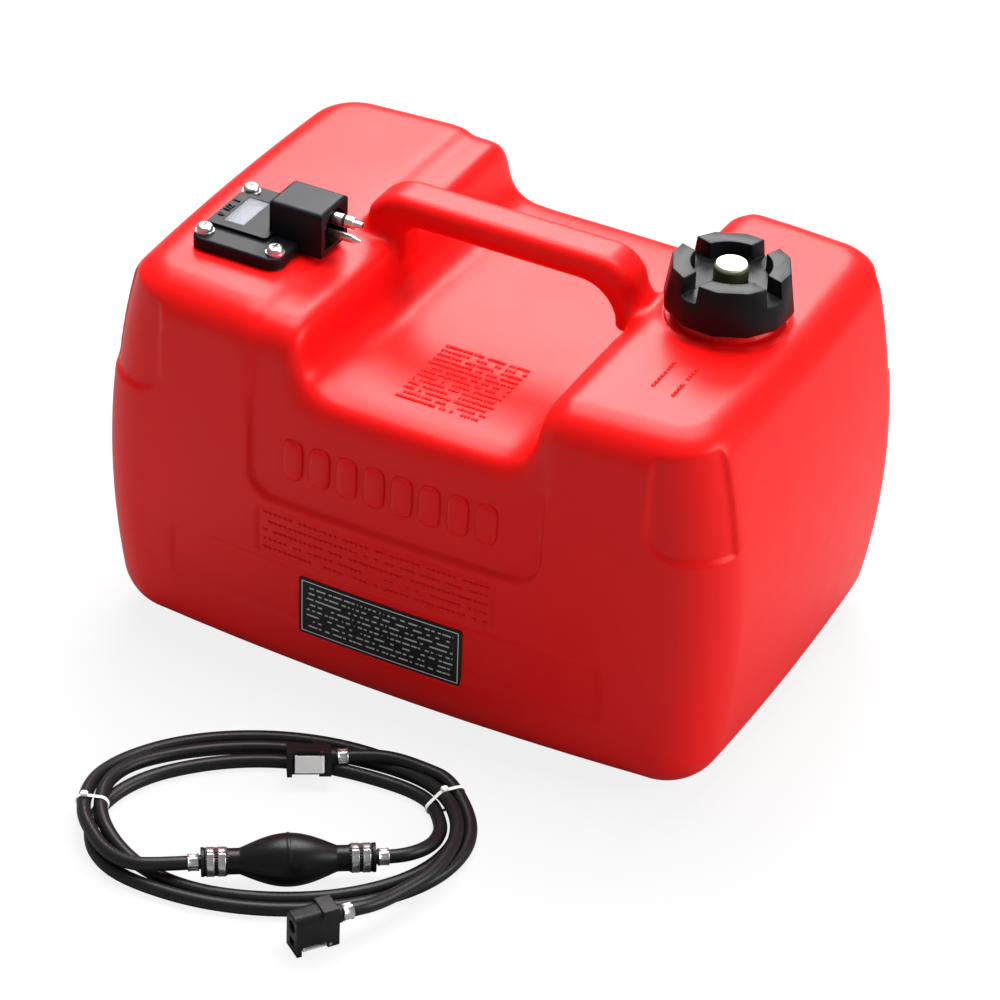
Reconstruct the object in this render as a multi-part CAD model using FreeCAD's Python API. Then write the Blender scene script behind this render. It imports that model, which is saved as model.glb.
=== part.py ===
"""Portable outboard fuel tank with its gauge unit, filler cap and fuel line, in millimetres.

Frame: origin under the middle of the tank, on the floor. +X runs along the long side from the gauge
unit to the filler cap, +Y from the labelled front face to the back, +Z up.
"""
import FreeCAD, Part
import math
import os
from FreeCAD import Placement, Rotation
from FreeCAD import Vector as V

os.makedirs("parts", exist_ok=True)

# ---------------------------------------------------------------- driving dimensions
# tank shell
TANK_LENGTH = 360.0
TANK_WIDTH = 245.6
TANK_HEIGHT = 211.0
WALL = 4.0
BOW_Z = 97.0               # height at which the bowed sides are fullest
END_ELEVATION_R = 413.0    # the four sides bow outwards, in elevation and in plan
END_PLAN_R = 1700.0
FACE_ELEVATION_R = 2174.0
FACE_PLAN_R = 1534.0
CORNER_R = 31.0
TOP_EDGE_R = 20.0
BOTTOM_EDGE_R = 29.0

# shallow band that wraps over the top and down both faces, and the panels below it
BAND_DEPTH = 3.0
BAND_X0, BAND_X1 = -81.5, 83.0
BAND_BOTTOM_Z = 110.0
BAND_CORNER_R = 15.0
TEXT_PANEL = (-76.0, 60.0, 76.0, 105.0)      # x0, x1, z0, z1
LOWER_PANEL = (-128.0, 118.0, 40.0, 74.0)
PANEL_DEPTH = 1.0
PANEL_CORNER_R = 5.0
CORNER_RECESS_WIDTH = 45.0         # in from each end of the tank
CORNER_RECESS_HEIGHT = 65.0        # down from the top of the tank
CORNER_RECESS_DEPTH = 2.0

# saddle under the handle
SADDLE_LEFT_X = -58.0
SADDLE_RIGHT_X = 74.5
SADDLE_DEPTH = 36.0
SADDLE_WALL_SLOPE = 8.0
SADDLE_CORNER_R = 14.0
SADDLE_EDGE_R = 8.0
SADDLE_INNER_EDGE_R = 4.0

# carrying handle
HANDLE_Y = -1.0
HANDLE_WIDTH = 25.0
HANDLE_RISE = 22.5         # above the top of the tank
HANDLE_THICK = 16.5
HANDLE_LEFT_X = -79.0
HANDLE_RIGHT_X = 79.5
HANDLE_LEG = 24.0
HANDLE_EDGE_R = 6.0
HANDLE_LEFT_R = 24.0
HANDLE_SLOPE_RUN = 13.0
HANDLE_RIDGE_R = 20.0
HAND_HOLE_R = 9.0
HAND_HOLE_RIGHT_R = 20.0
HANDLE_RIGHT_LEG = 15.5

# filler neck and cap
CAP_INSET = 62.0           # middle of the cap in from the tank's end
CAP_Y = 5.0
NECK_R = 26.0
NECK_BORE_R = 21.0
NECK_HEIGHT = 15.0         # above the top of the tank
NECK_BOSS_R = 30.5
NECK_BOSS_HEIGHT = 4.0
CAP_STAND = 7.0            # gap between the tank's top and the cap's lower edge
CAP_HEIGHT = 24.0
CAP_R = 33.5
CAP_TOP_R = 30.0
CAP_SIDES = 12
CAP_ROOF = 4.0
CAP_LOBE_HEIGHT = 9.5
CAP_BOWL_R = 20.0
CAP_NOTCH_WIDTH = 10.0
CAP_LINER_WALL = 2.4
CAP_THREAD_CLEARANCE = 0.5
CAP_GASKET_THICK = 2.0
CAP_TURN_OFFSET = 26.0     # direction of the first grip lobe, degrees from +X
VENT_R = 8.8
VENT_STEM_R = 2.6
VENT_DISC_THICK = 1.2
VENT_SEAL_THICK = 1.6

# gauge and take-off unit
FLANGE_INSET = 38.0        # in from the tank's end
FLANGE_LENGTH = 51.0
FLANGE_Y0, FLANGE_Y1 = -76.5, -15.5
FLANGE_THICK = 5.5
FLANGE_CORNER_R = 7.0
FLANGE_EDGE_R = 1.5
GASKET_THICK = 1.5
SCREW_MARGIN_X, SCREW_MARGIN_Y = 5.2, 7.6
SCREW_R = 2.5
SCREW_HEAD_R = 4.3
SCREW_HEAD_HEIGHT = 3.0
SCREW_GRIP = 13.0
SCREW_CROSS_DEPTH = 1.4
WASHER_R = 4.8
WASHER_THICK = 1.0
INSERT_R = 3.6
INSERT_LENGTH = 9.0
BLOCK_INSET = 33.0         # in from the flange's edge
BLOCK_LENGTH = 31.0
BLOCK_Y0, BLOCK_Y1 = -54.5, -28.0
BLOCK_HEIGHT = 26.0        # above the top of the tank
BLOCK_EDGE_R = 2.5
HOOD_DEPTH = 15.0
HOOD_HALF = 9.6
HOOD_SILL = 4.5            # height of the hood's floor above the top of the tank
WINDOW_INSET = 2.0         # in from the flange's edge
WINDOW_Y0, WINDOW_Y1 = -62.0, -28.5
WINDOW_RAISE = 1.8
WINDOW_CORNER_R = 2.0
WINDOW_CEILING = 1.0       # flange left above the dial's well
LENS_INSET = 6.5           # in from the window's edge
LENS_LENGTH = 12.0
LENS_Y0, LENS_Y1 = -56.5, -30.5
LENS_THICK = 1.6
LENS_RIM = 1.2
LENS_SUNK = 0.3
FIT = 0.05                 # radial running clearance
GAP = 0.4                  # clearance between parts that pass each other

# float gauge
GAUGE_INSET = 20.0         # middle of the gauge in from the flange's edge
GAUGE_Y = -43.5
GAUGE_HOLE_R = 16.0
SKIRT_R = 15.2
SKIRT_WALL = 1.8
CAGE_R = 14.6
CAGE_PLATE = 2.0
CAGE_ROD_R = 1.5
CAGE_ROD_OFFSET = 10.4
CAGE_FOOT_Z = 6.0
FLOAT_R = 14.0
FLOAT_HEIGHT = 22.0
FLOAT_EDGE_R = 2.0
FLOAT_FOOT = 1.0           # gap between the float at rest and the cage's foot plate
FLOAT_GUIDE_THICK = 2.0
FLOAT_GUIDE_R = 6.0
STRIP_WIDTH = 5.0
STRIP_THICK = 1.0
STRIP_TWIST = 270.0
STRIP_JOURNAL_R = 2.8
STRIP_PIVOT_R = 1.0
STRIP_STEP = 15.0
DIAL_R = 12.2
DIAL_THICK = 1.2
DIAL_HEADROOM = 0.8

# fuel pick-up and the two pins that the hose connector plugs on
FUEL_PIN_R = 3.2
FUEL_PIN_HEIGHT = 19.0     # above the top of the tank
FUEL_PIN_TIP_R = 1.9
FUEL_PIN_TIP = 4.0
FUEL_PIN_REACH = 16.0      # past the face of the hood
FUEL_BORE_R = 1.25
GUIDE_PIN_R = 2.1
GUIDE_PIN_REACH = 15.0     # past the face of the hood
GUIDE_PIN_POINT = 5.0
PIN_SPACING = 9.2
PIN_ROOT = 4.0             # length of the thinner root pressed into the housing
PIN_ROOT_STEP = 0.4
PIN_CHAMFER = 0.8
PIN_SEAL_REACH = 6.0       # past the face of the hood
PIN_SEAL_R = 0.9
PICKUP_INSET = 9.5         # in from the back of the block
PICKUP_R = 3.0
PICKUP_BORE_R = 2.0
PICKUP_FOOT_Z = 12.0
PICKUP_SOCKET = 6.0        # depth of the tube's socket in the housing
STRAINER_R = 6.0
STRAINER_LENGTH = 26.0
STRAINER_WALL = 1.0
STRAINER_SLOTS = 8
STRAINER_SLOT_WIDTH = 1.8
STRAINER_SLOT_MARGIN = 3.0

# label plate on the lower front
LABEL_X0, LABEL_X1 = -50.0, 43.0
LABEL_Z0, LABEL_Z1 = 35.5, 70.0
LABEL_THICK = 0.6
LABEL_CORNER_R = 1.2
LABEL_MARGIN = 0.3

# fuel line: coiled hose
HOSE_R = 3.5
HOSE_BORE_R = 2.4
RING_X, RING_Y = 1.0, -229.0
RING_YAW = 26.0
RING_A, RING_B = 95.0, 70.0        # outer half sizes of the oval coil
COIL_WIDTH_A, COIL_WIDTH_B = 22.0, 15.5
COIL_HEIGHT = 13.0
TIE_WIDTH = 3.0
TIE_THICK = 0.9
TIE_ANGLES = (175.0, 22.0)         # where the two ties hold the coil, round its oval
FERRULE_R = 4.2
FERRULE_WIDTH = 5.4
FERRULE_START = 0.8                # gap between a fitting and the sleeve on its hose

# fuel line: primer bulb
BULB_U, BULB_V = 7.6, -35.3       # centre of the bulb in the coil's own axes
BULB_YAW = 33.0
BULB_R = 13.0
BULB_BODY = 47.0
BULB_FULLNESS = 0.62               # share of the swell reached at BULB_QUARTER of the half length
BULB_QUARTER = 0.6
BULB_NECK_R = 6.4
BULB_NECK = 5.5
BULB_CUFF = 11.5
BULB_WALL = 1.8
COLLAR_R = 7.2
COLLAR_WIDTH = 1.5
STUB_INSET = 1.0
BARB_R = 2.4
BARB_BORE_R = 1.25
BARB_LENGTH = 10.0
BAND_R = 7.0
BAND_WIDTH = 3.6
BAND_INSET = 1.2
DISC_R = 3.0
DISC_THICK = 1.0
DISC_WINDOW_R = 2.0
DISC_SEAT = 3.0
DISC_LIFT = 0.05           # gap under a resting disc

# fuel line: quick connectors
CONNECTOR_LENGTH = 22.0
CONNECTOR_HEIGHT = 23.0
CONNECTOR_THICK = 12.3
CONNECTOR_BORE_Z = 14.7            # axis of the fuel bore above the connector's lower edge
CONNECTOR_BORE_DEPTH = 11.0
CONNECTOR_ROUND_R = 4.0
CONNECTOR_EDGE_R = 0.8
SHOULDER_X = 13.5
SHOULDER_STEP = 1.0
LIP_THICK = 2.6
NOTCH_ROOF_Z = 5.0
FOOT_X = 16.0
FOOT_Z = 1.2
CHEEK = 1.4
GUIDE_SLOT = 4.8
GUIDE_DEPTH = 16.5
SEAT_THICK = 1.5
SEAT_HOLE_R = 2.0
CHAMBER_R = 3.0
CHAMBER_LENGTH = 6.5
FITTING_R = 3.9
FITTING_FLANGE_R = 4.6
FITTING_FLANGE = 2.5
SEAL_X = 3.5
SEAL_THICK = 1.8
SEAL_DEPTH = 1.4
PLUNGER_HEAD_R = 2.7
PLUNGER_HEAD = 1.6
PLUNGER_NOSE_R = 1.6
PLUNGER_NOSE = 1.0
SPRING_R = 2.1
SPRING_WIRE_R = 0.3
SPRING_TURNS = 3
LATCH_X = 4.0
LATCH_Z = 0.9
LATCH_THICK = 1.1
LATCH_HOOK = 1.0
LATCH_PIN_R = 0.8
LATCH_PIN_X, LATCH_PIN_Z = 17.4, 2.8
LATCH_EYE_R = 1.6
CONNECTOR_CLEARANCE = 0.3
# place of each connector: u, v and z of its lower front edge, heading, and turn about its own axis
TANK_PLUG = (12.9, -86.3, 0.0, 54.0, 0.0)
ENGINE_PLUG = (1.8, 35.5, 14.4, 31.0, -112.0)

# the loose hose ends between the coil and what they are pushed on, as points u, v, z
TANK_END_ROUTE = ((49.0, -67.3, 13.8), (63.0, -56.5, 9.5), (74.5, -43.0, 6.0), (82.5, -27.5, 5.0))
INLET_ROUTE = ((-48.4, -42.2, 12.6), (-61.8, -39.2, 10.0), (-73.4, -31.7, 7.0))
OUTLET_ROUTE = ((60.2, -28.9, 12.8), (72.2, -26.5, 11.2), (82.2, -22.3, 8.5))
ENGINE_END_ROUTE = ((38.8, 52.4, 9.2), (52.3, 50.3, 8.0))

CORNER_RECESS_X = TANK_LENGTH / 2 - CORNER_RECESS_WIDTH
CAP_X = TANK_LENGTH / 2 - CAP_INSET
FLANGE_X0 = -TANK_LENGTH / 2 + FLANGE_INSET
FLANGE_X1 = FLANGE_X0 + FLANGE_LENGTH
BLOCK_X0 = FLANGE_X0 + BLOCK_INSET
BLOCK_X1 = BLOCK_X0 + BLOCK_LENGTH
WINDOW_X0 = FLANGE_X0 + WINDOW_INSET
WINDOW_X1 = BLOCK_X0
LENS_X0 = WINDOW_X0 + LENS_INSET
LENS_X1 = LENS_X0 + LENS_LENGTH
GAUGE_X = FLANGE_X0 + GAUGE_INSET
FUEL_PIN_END_X = BLOCK_X1 + FUEL_PIN_REACH
GUIDE_PIN_END_X = BLOCK_X1 + GUIDE_PIN_REACH
PIN_SEAL_X = BLOCK_X1 + PIN_SEAL_REACH
PICKUP_X = BLOCK_X0 + PICKUP_INSET

DECK_Z = TANK_HEIGHT
CORNER_RECESS_Z = DECK_Z - CORNER_RECESS_HEIGHT
SADDLE_FLOOR_Z = DECK_Z - SADDLE_DEPTH
HANDLE_TOP_Z = DECK_Z + HANDLE_RISE
NECK_TOP_Z = DECK_Z + NECK_HEIGHT
CAP_BOTTOM_Z = DECK_Z + CAP_STAND
BLOCK_TOP_Z = DECK_Z + BLOCK_HEIGHT
HOOD_FLOOR_Z = DECK_Z + HOOD_SILL
FUEL_PIN_Z = DECK_Z + FUEL_PIN_HEIGHT
LEDGE_Z = TANK_HEIGHT - BAND_DEPTH
CAVITY_TOP_Z = DECK_Z - WALL
FLANGE_Z0 = DECK_Z + GASKET_THICK
FLANGE_Z1 = FLANGE_Z0 + FLANGE_THICK
WINDOW_Z = FLANGE_Z1 + WINDOW_RAISE
BLOCK_Y = (BLOCK_Y0 + BLOCK_Y1) / 2
HOOD_BACK_X = BLOCK_X1 - HOOD_DEPTH
GUIDE_PIN_Z = FUEL_PIN_Z - PIN_SPACING
CAP_TOP_Z = CAP_BOTTOM_Z + CAP_HEIGHT
CAP_BOWL_Z = CAP_TOP_Z - CAP_LOBE_HEIGHT
CAP_CEILING_Z = CAP_BOWL_Z - CAP_ROOF
SIDE_REACH = 1.6           # how far a bowed side reaches past the middle, in half sizes

CAGE_TOP_Z = CAVITY_TOP_Z
STRIP_BASE_Z = CAGE_FOOT_Z + CAGE_PLATE
STRIP_TOP_Z = CAGE_TOP_Z - CAGE_PLATE - GAP
FLOAT_BASE_Z = STRIP_BASE_Z + FLOAT_FOOT
FLOAT_TOP_Z = FLOAT_BASE_Z + FLOAT_HEIGHT
DIAL_Z = FLANGE_Z1 - WINDOW_CEILING - DIAL_HEADROOM - DIAL_THICK

HALF_BODY = BULB_BODY / 2
NECK_END = HALF_BODY + BULB_NECK
CUFF_END = NECK_END + BULB_CUFF
COLLAR_END = CUFF_END + COLLAR_WIDTH
STUB_START = NECK_END + STUB_INSET

FRONT_TOP_Z = CONNECTOR_HEIGHT - SHOULDER_STEP
HALF_THICK = CONNECTOR_THICK / 2
CHAMBER_X = CONNECTOR_BORE_DEPTH + SEAT_THICK
CHAMBER_END_X = CHAMBER_X + CHAMBER_LENGTH
FLANGE_END_X = CONNECTOR_LENGTH + FITTING_FLANGE
GUIDE_Z = CONNECTOR_BORE_Z - PIN_SPACING
LATCH_HALF = HALF_THICK - CHEEK - GAP


# ---------------------------------------------------------------- helpers
def save(name, shape):
    """Write one sub-part to its STEP file."""
    if not shape.isValid():
        print("invalid", name)
    shape.exportStep("parts/" + name + ".step")
    print(f"{name:22s} solids {len(shape.Solids):2d} volume {shape.Volume:12.1f}")
    return shape


def box(x0, x1, y0, y1, z0, z1):
    return Part.makeBox(x1 - x0, y1 - y0, z1 - z0, V(x0, y0, z0))


def rod(r, start, end):
    axis = end - start
    return Part.makeCylinder(r, axis.Length, start, axis)


def ring(r_out, r_in, start, end):
    return rod(r_out, start, end).cut(rod(r_in, start, end))


def upright(r, x, y, z0, z1):
    return rod(r, V(x, y, z0), V(x, y, z1))


def upright_ring(r_out, r_in, x, y, z0, z1):
    return ring(r_out, r_in, V(x, y, z0), V(x, y, z1))


def edges(shape, test):
    return [e for e in shape.Edges if test(e.BoundBox)]


def plate(x0, x1, y0, y1, z0, z1, corner_r):
    """A flat plate with rounded upright corners."""
    solid = box(x0, x1, y0, y1, z0, z1)
    return solid.makeFillet(corner_r, edges(solid, lambda b: b.ZLength > (z1 - z0) * 0.9))


def line(a, b):
    return Part.LineSegment(a, b).toShape()


def arc(a, middle, b):
    return Part.Arc(a, middle, b).toShape()


def group(solids):
    return Part.makeCompound(solids)


# ---------------------------------------------------------------- tank shell
def bowed_side(heading, half_size, plan_r, elevation_r, inset):
    """All that lies within one bowed side of the tank, reaching well past the side across from it."""
    z0, z1 = inset, TANK_HEIGHT - inset
    bow_r = elevation_r - inset
    bow_x = half_size - elevation_r

    def outer(z):
        return V(bow_x + math.sqrt(bow_r**2 - (z - BOW_Z) ** 2), 0, z)

    inner_x = -SIDE_REACH * half_size
    section = Part.Wire([
        line(V(inner_x, 0, z0), outer(z0)),
        arc(outer(z0), V(bow_x + bow_r, 0, BOW_Z), outer(z1)),
        line(outer(z1), V(inner_x, 0, z1)),
        line(V(inner_x, 0, z1), V(inner_x, 0, z0)),
    ])
    centre = V(half_size - plan_r, 0, 0)
    spread = math.degrees(math.asin(TANK_LENGTH / SIDE_REACH / (inner_x - centre.x)))
    face = Part.Face(section)
    face.rotate(centre, V(0, 0, 1), -spread)
    solid = face.revolve(centre, V(0, 0, 1), 2 * spread)
    solid.rotate(V(0, 0, 0), V(0, 0, 1), heading)
    return solid


def bowed_block(inset):
    """The tank's outer form before its long edges are rounded, moved in by inset."""
    end = (TANK_LENGTH / 2, END_PLAN_R, END_ELEVATION_R, inset)
    face = (TANK_WIDTH / 2, FACE_PLAN_R, FACE_ELEVATION_R, inset)
    solid = bowed_side(0, *end).common(bowed_side(180, *end))
    solid = solid.common(bowed_side(90, *face)).common(bowed_side(270, *face))
    return solid.makeFillet(CORNER_R - inset, edges(solid, lambda b: b.ZLength > TANK_HEIGHT / 2))


def tank_form(inset):
    """The tank's outer form with all its edges rounded, moved in by inset."""
    solid = bowed_block(inset)
    top = TANK_HEIGHT - inset
    solid = solid.makeFillet(TOP_EDGE_R - inset, edges(solid, lambda b: b.ZMin > top - 0.01))
    return solid.makeFillet(BOTTOM_EDGE_R - inset, edges(solid, lambda b: b.ZMax < inset + 0.01))


def slab(x0, x1, z0, z1, r, y0, y1):
    """A block through the tank along Y, with its corners rounded in elevation."""
    solid = box(x0, x1, y0, y1, z0, z1)
    return solid.makeFillet(r, edges(solid, lambda b: b.YLength > (y1 - y0) * 0.9))


def saddle_tool(extra):
    """What is taken out between the two shoulders, grown by extra on all sides."""
    lean = math.tan(math.radians(SADDLE_WALL_SLOPE))
    floor = SADDLE_FLOOR_Z - extra
    top = TANK_HEIGHT * 1.2
    reach = TANK_WIDTH
    left, right = SADDLE_LEFT_X - extra, SADDLE_RIGHT_X + extra
    down, up = (LEDGE_Z - floor) * lean, (top - LEDGE_Z) * lean
    outline = Part.makePolygon([
        V(left - up, -reach, top), V(left + down, -reach, floor),
        V(right - down, -reach, floor), V(right + up, -reach, top), V(left - up, -reach, top),
    ])
    solid = Part.Face(outline).extrude(V(0, 2 * reach, 0))
    floor_edges = edges(solid, lambda b: b.YLength > reach and b.ZMax < floor + 0.01)
    return solid.makeFillet(SADDLE_CORNER_R + extra, floor_edges)


def on_surface(edge, shell):
    """True for an edge that lies on the shell all along."""
    span = edge.LastParameter - edge.FirstParameter
    points = [edge.valueAt(edge.FirstParameter + span * share) for share in (0.1, 0.5, 0.9)]
    return all(shell.distToShape(Part.Vertex(p))[0] < 1e-4 for p in points)


def saddled(solid, extra, edge_r):
    """Take the saddle out and round its whole rim."""
    tool = saddle_tool(extra)
    solid = solid.cut(tool)
    rim = []
    for edge in solid.Edges:
        bounds = edge.BoundBox
        inside = bounds.YLength > TANK_WIDTH / 2 and bounds.ZMax < LEDGE_Z - edge_r
        if not inside and on_surface(edge, tool.Shells[0]):
            rim.append(edge)
    return solid.makeFillet(edge_r, rim)


def handle():
    """The carrying handle: an arch in elevation with a round-edged section."""
    y0 = HANDLE_Y - HANDLE_WIDTH / 2
    top, under = HANDLE_TOP_Z, HANDLE_TOP_Z - HANDLE_THICK
    foot = LEDGE_Z - 2 * HANDLE_EDGE_R
    left, right = HANDLE_LEFT_X, HANDLE_RIGHT_X
    inner_left = left + HANDLE_LEG
    inner_right = right - HANDLE_RIGHT_LEG
    k = 1 - math.sqrt(0.5)
    r, q, s = HANDLE_LEFT_R, HAND_HOLE_R, HAND_HOLE_RIGHT_R
    slope_top = V(right - HANDLE_SLOPE_RUN, y0, top)
    slope_end = V(right, y0, LEDGE_Z)
    outline = Part.Wire([
        line(V(left, y0, foot), V(left, y0, top - r)),
        arc(V(left, y0, top - r), V(left + k * r, y0, top - k * r), V(left + r, y0, top)),
        line(V(left + r, y0, top), slope_top),
        line(slope_top, slope_end),
        line(slope_end, V(right, y0, foot)),
        line(V(right, y0, foot), V(inner_right, y0, foot)),
        line(V(inner_right, y0, foot), V(inner_right, y0, under - s)),
        arc(V(inner_right, y0, under - s), V(inner_right - k * s, y0, under - k * s),
            V(inner_right - s, y0, under)),
        line(V(inner_right - s, y0, under), V(inner_left + q, y0, under)),
        arc(V(inner_left + q, y0, under), V(inner_left + k * q, y0, under - k * q),
            V(inner_left, y0, under - q)),
        line(V(inner_left, y0, under - q), V(inner_left, y0, foot)),
        line(V(inner_left, y0, foot), V(left, y0, foot)),
    ])
    solid = Part.Face(outline).extrude(V(0, HANDLE_WIDTH, 0))
    ridge = edges(solid, lambda b: b.YLength > HANDLE_WIDTH * 0.9 and b.ZMin > top - 0.01
                  and b.XMin > right - HANDLE_SLOPE_RUN - 1)
    solid = solid.makeFillet(HANDLE_RIDGE_R, ridge)
    rims = edges(solid, lambda b: b.YLength < 0.01 and b.ZMin > foot + 0.01)
    rims += edges(solid, lambda b: b.YLength < 0.01 and b.ZMin < foot + 0.01 and b.ZLength > 1)
    return solid.makeFillet(HANDLE_EDGE_R, rims)


def tank_shell():
    form = tank_form(0)
    reach = TANK_WIDTH
    over = TANK_HEIGHT * 1.2
    band = slab(BAND_X0, BAND_X1, BAND_BOTTOM_Z, over, BAND_CORNER_R, -reach, reach)
    solid = form.cut(band.cut(tank_form(BAND_DEPTH)))
    text_panel = slab(*TEXT_PANEL, PANEL_CORNER_R, -reach, 0)
    lower_panel = slab(*LOWER_PANEL, PANEL_CORNER_R, -reach, 0).fuse(label_slab(LABEL_MARGIN))
    for cutter in (text_panel, lower_panel):
        solid = solid.cut(cutter.cut(tank_form(PANEL_DEPTH)))
    corner_core = bowed_block(CORNER_RECESS_DEPTH)
    for side in (-1, 1):
        x0, x1 = sorted((side * CORNER_RECESS_X, side * TANK_LENGTH))
        corner = slab(x0, x1, CORNER_RECESS_Z, over, BAND_CORNER_R, -reach, reach)
        corner = corner.cut(box(-reach, reach, -TANK_WIDTH / 2 + CORNER_R, TANK_WIDTH / 2 - CORNER_R,
                                0, over))
        corner = corner.cut(box(-reach, reach, -reach, reach, DECK_Z - CORNER_RECESS_DEPTH, 2 * over))
        solid = solid.cut(corner.cut(corner_core))

    solid = saddled(solid, 0, SADDLE_EDGE_R)

    cavity = tank_form(WALL)
    inner_band = slab(BAND_X0 - WALL, BAND_X1 + WALL, BAND_BOTTOM_Z - WALL, over,
                      BAND_CORNER_R + WALL, -reach, reach)
    cavity = cavity.cut(inner_band.cut(tank_form(WALL + BAND_DEPTH)))
    cavity = saddled(cavity, WALL, SADDLE_INNER_EDGE_R)

    solid = solid.fuse(handle())
    solid = solid.fuse(upright(NECK_BOSS_R, CAP_X, CAP_Y, CAVITY_TOP_Z, DECK_Z + NECK_BOSS_HEIGHT))
    solid = solid.fuse(upright(NECK_R, CAP_X, CAP_Y, CAVITY_TOP_Z, NECK_TOP_Z))
    solid = solid.cut(cavity)
    solid = solid.cut(upright(NECK_BORE_R, CAP_X, CAP_Y, CAVITY_TOP_Z - WALL, NECK_TOP_Z + 1))
    solid = solid.cut(upright(GAUGE_HOLE_R, GAUGE_X, GAUGE_Y, CAVITY_TOP_Z - WALL, DECK_Z + 1))
    solid = solid.cut(upright(PICKUP_R + GAP, PICKUP_X, BLOCK_Y, CAVITY_TOP_Z - WALL, DECK_Z + 1))
    for x, y in screw_places():
        solid = solid.fuse(upright(INSERT_R + WALL / 2, x, y, DECK_Z - INSERT_LENGTH - WALL / 2,
                                   DECK_Z - WALL / 2))
        solid = solid.cut(upright(INSERT_R, x, y, DECK_Z - INSERT_LENGTH, DECK_Z + 1))
    return solid


def screw_places():
    xs = (FLANGE_X0 + SCREW_MARGIN_X, FLANGE_X1 - SCREW_MARGIN_X)
    ys = (FLANGE_Y0 + SCREW_MARGIN_Y, FLANGE_Y1 - SCREW_MARGIN_Y)
    return [(x, y) for x in xs for y in ys]


def label_slab(margin):
    """A block through the front that marks out the label's place, grown by margin."""
    return slab(LABEL_X0 - margin, LABEL_X1 + margin, LABEL_Z0 - margin, LABEL_Z1 + margin,
                LABEL_CORNER_R + margin, -TANK_WIDTH, 0)


def label_plate():
    """A thin plate that follows the bow of the front face at the bottom of the lower panel."""
    skin = tank_form(PANEL_DEPTH - LABEL_THICK).cut(tank_form(PANEL_DEPTH))
    return skin.common(label_slab(0))


# ---------------------------------------------------------------- filler cap
def lobe_angle(i):
    return CAP_TURN_OFFSET + 90.0 * i


def cap_shell():
    def polygon(radius, z):
        step = 2 * math.pi / CAP_SIDES
        start = math.radians(CAP_TURN_OFFSET) + step / 2
        turns = [start + i * step for i in range(CAP_SIDES)]
        points = [V(CAP_X + radius * math.cos(t), CAP_Y + radius * math.sin(t), z) for t in turns]
        return Part.makePolygon(points + [points[0]])

    solid = Part.makeLoft([polygon(CAP_R, CAP_BOTTOM_Z), polygon(CAP_TOP_R, CAP_TOP_Z)], True, True)
    solid = solid.cut(upright(CAP_BOWL_R, CAP_X, CAP_Y, CAP_BOWL_Z, CAP_TOP_Z + 1))
    for i in range(4):
        notch = box(CAP_BOWL_R - 2, CAP_R + 2, -CAP_NOTCH_WIDTH / 2, CAP_NOTCH_WIDTH / 2,
                    CAP_BOWL_Z, CAP_TOP_Z + 1)
        notch.rotate(V(0, 0, 0), V(0, 0, 1), lobe_angle(i) + 45.0)
        notch.translate(V(CAP_X, CAP_Y, 0))
        solid = solid.cut(notch)
    bore = NECK_R + CAP_THREAD_CLEARANCE + CAP_LINER_WALL
    solid = solid.cut(upright(bore, CAP_X, CAP_Y, CAP_BOTTOM_Z - 1, CAP_CEILING_Z))
    return solid.cut(upright(VENT_STEM_R + FIT, CAP_X, CAP_Y, CAP_CEILING_Z - 1, CAP_TOP_Z))


def cap_liner():
    inner = NECK_R + CAP_THREAD_CLEARANCE
    return upright_ring(inner + CAP_LINER_WALL, inner, CAP_X, CAP_Y, CAP_BOTTOM_Z + 1, CAP_CEILING_Z)


def cap_gasket():
    return upright_ring(NECK_R, NECK_BORE_R, CAP_X, CAP_Y, CAP_CEILING_Z - CAP_GASKET_THICK - GAP / 2,
                        CAP_CEILING_Z - GAP / 2)


def vent_parts():
    seat = CAP_BOWL_Z + VENT_SEAL_THICK
    knob = upright(VENT_R, CAP_X, CAP_Y, seat, CAP_TOP_Z - VENT_DISC_THICK)
    stem = upright(VENT_STEM_R, CAP_X, CAP_Y, CAP_CEILING_Z, seat)
    rim = edges(knob, lambda b: b.ZMin > CAP_TOP_Z - VENT_DISC_THICK - 0.01)
    knob = knob.makeFillet(VENT_DISC_THICK, rim).fuse(stem)
    disc = upright(VENT_R - VENT_DISC_THICK, CAP_X, CAP_Y, CAP_TOP_Z - VENT_DISC_THICK, CAP_TOP_Z)
    seal = upright_ring(VENT_STEM_R + 2 * VENT_SEAL_THICK, VENT_STEM_R + GAP, CAP_X, CAP_Y,
                        CAP_BOWL_Z, seat - GAP / 4)
    return knob, disc, seal


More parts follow.
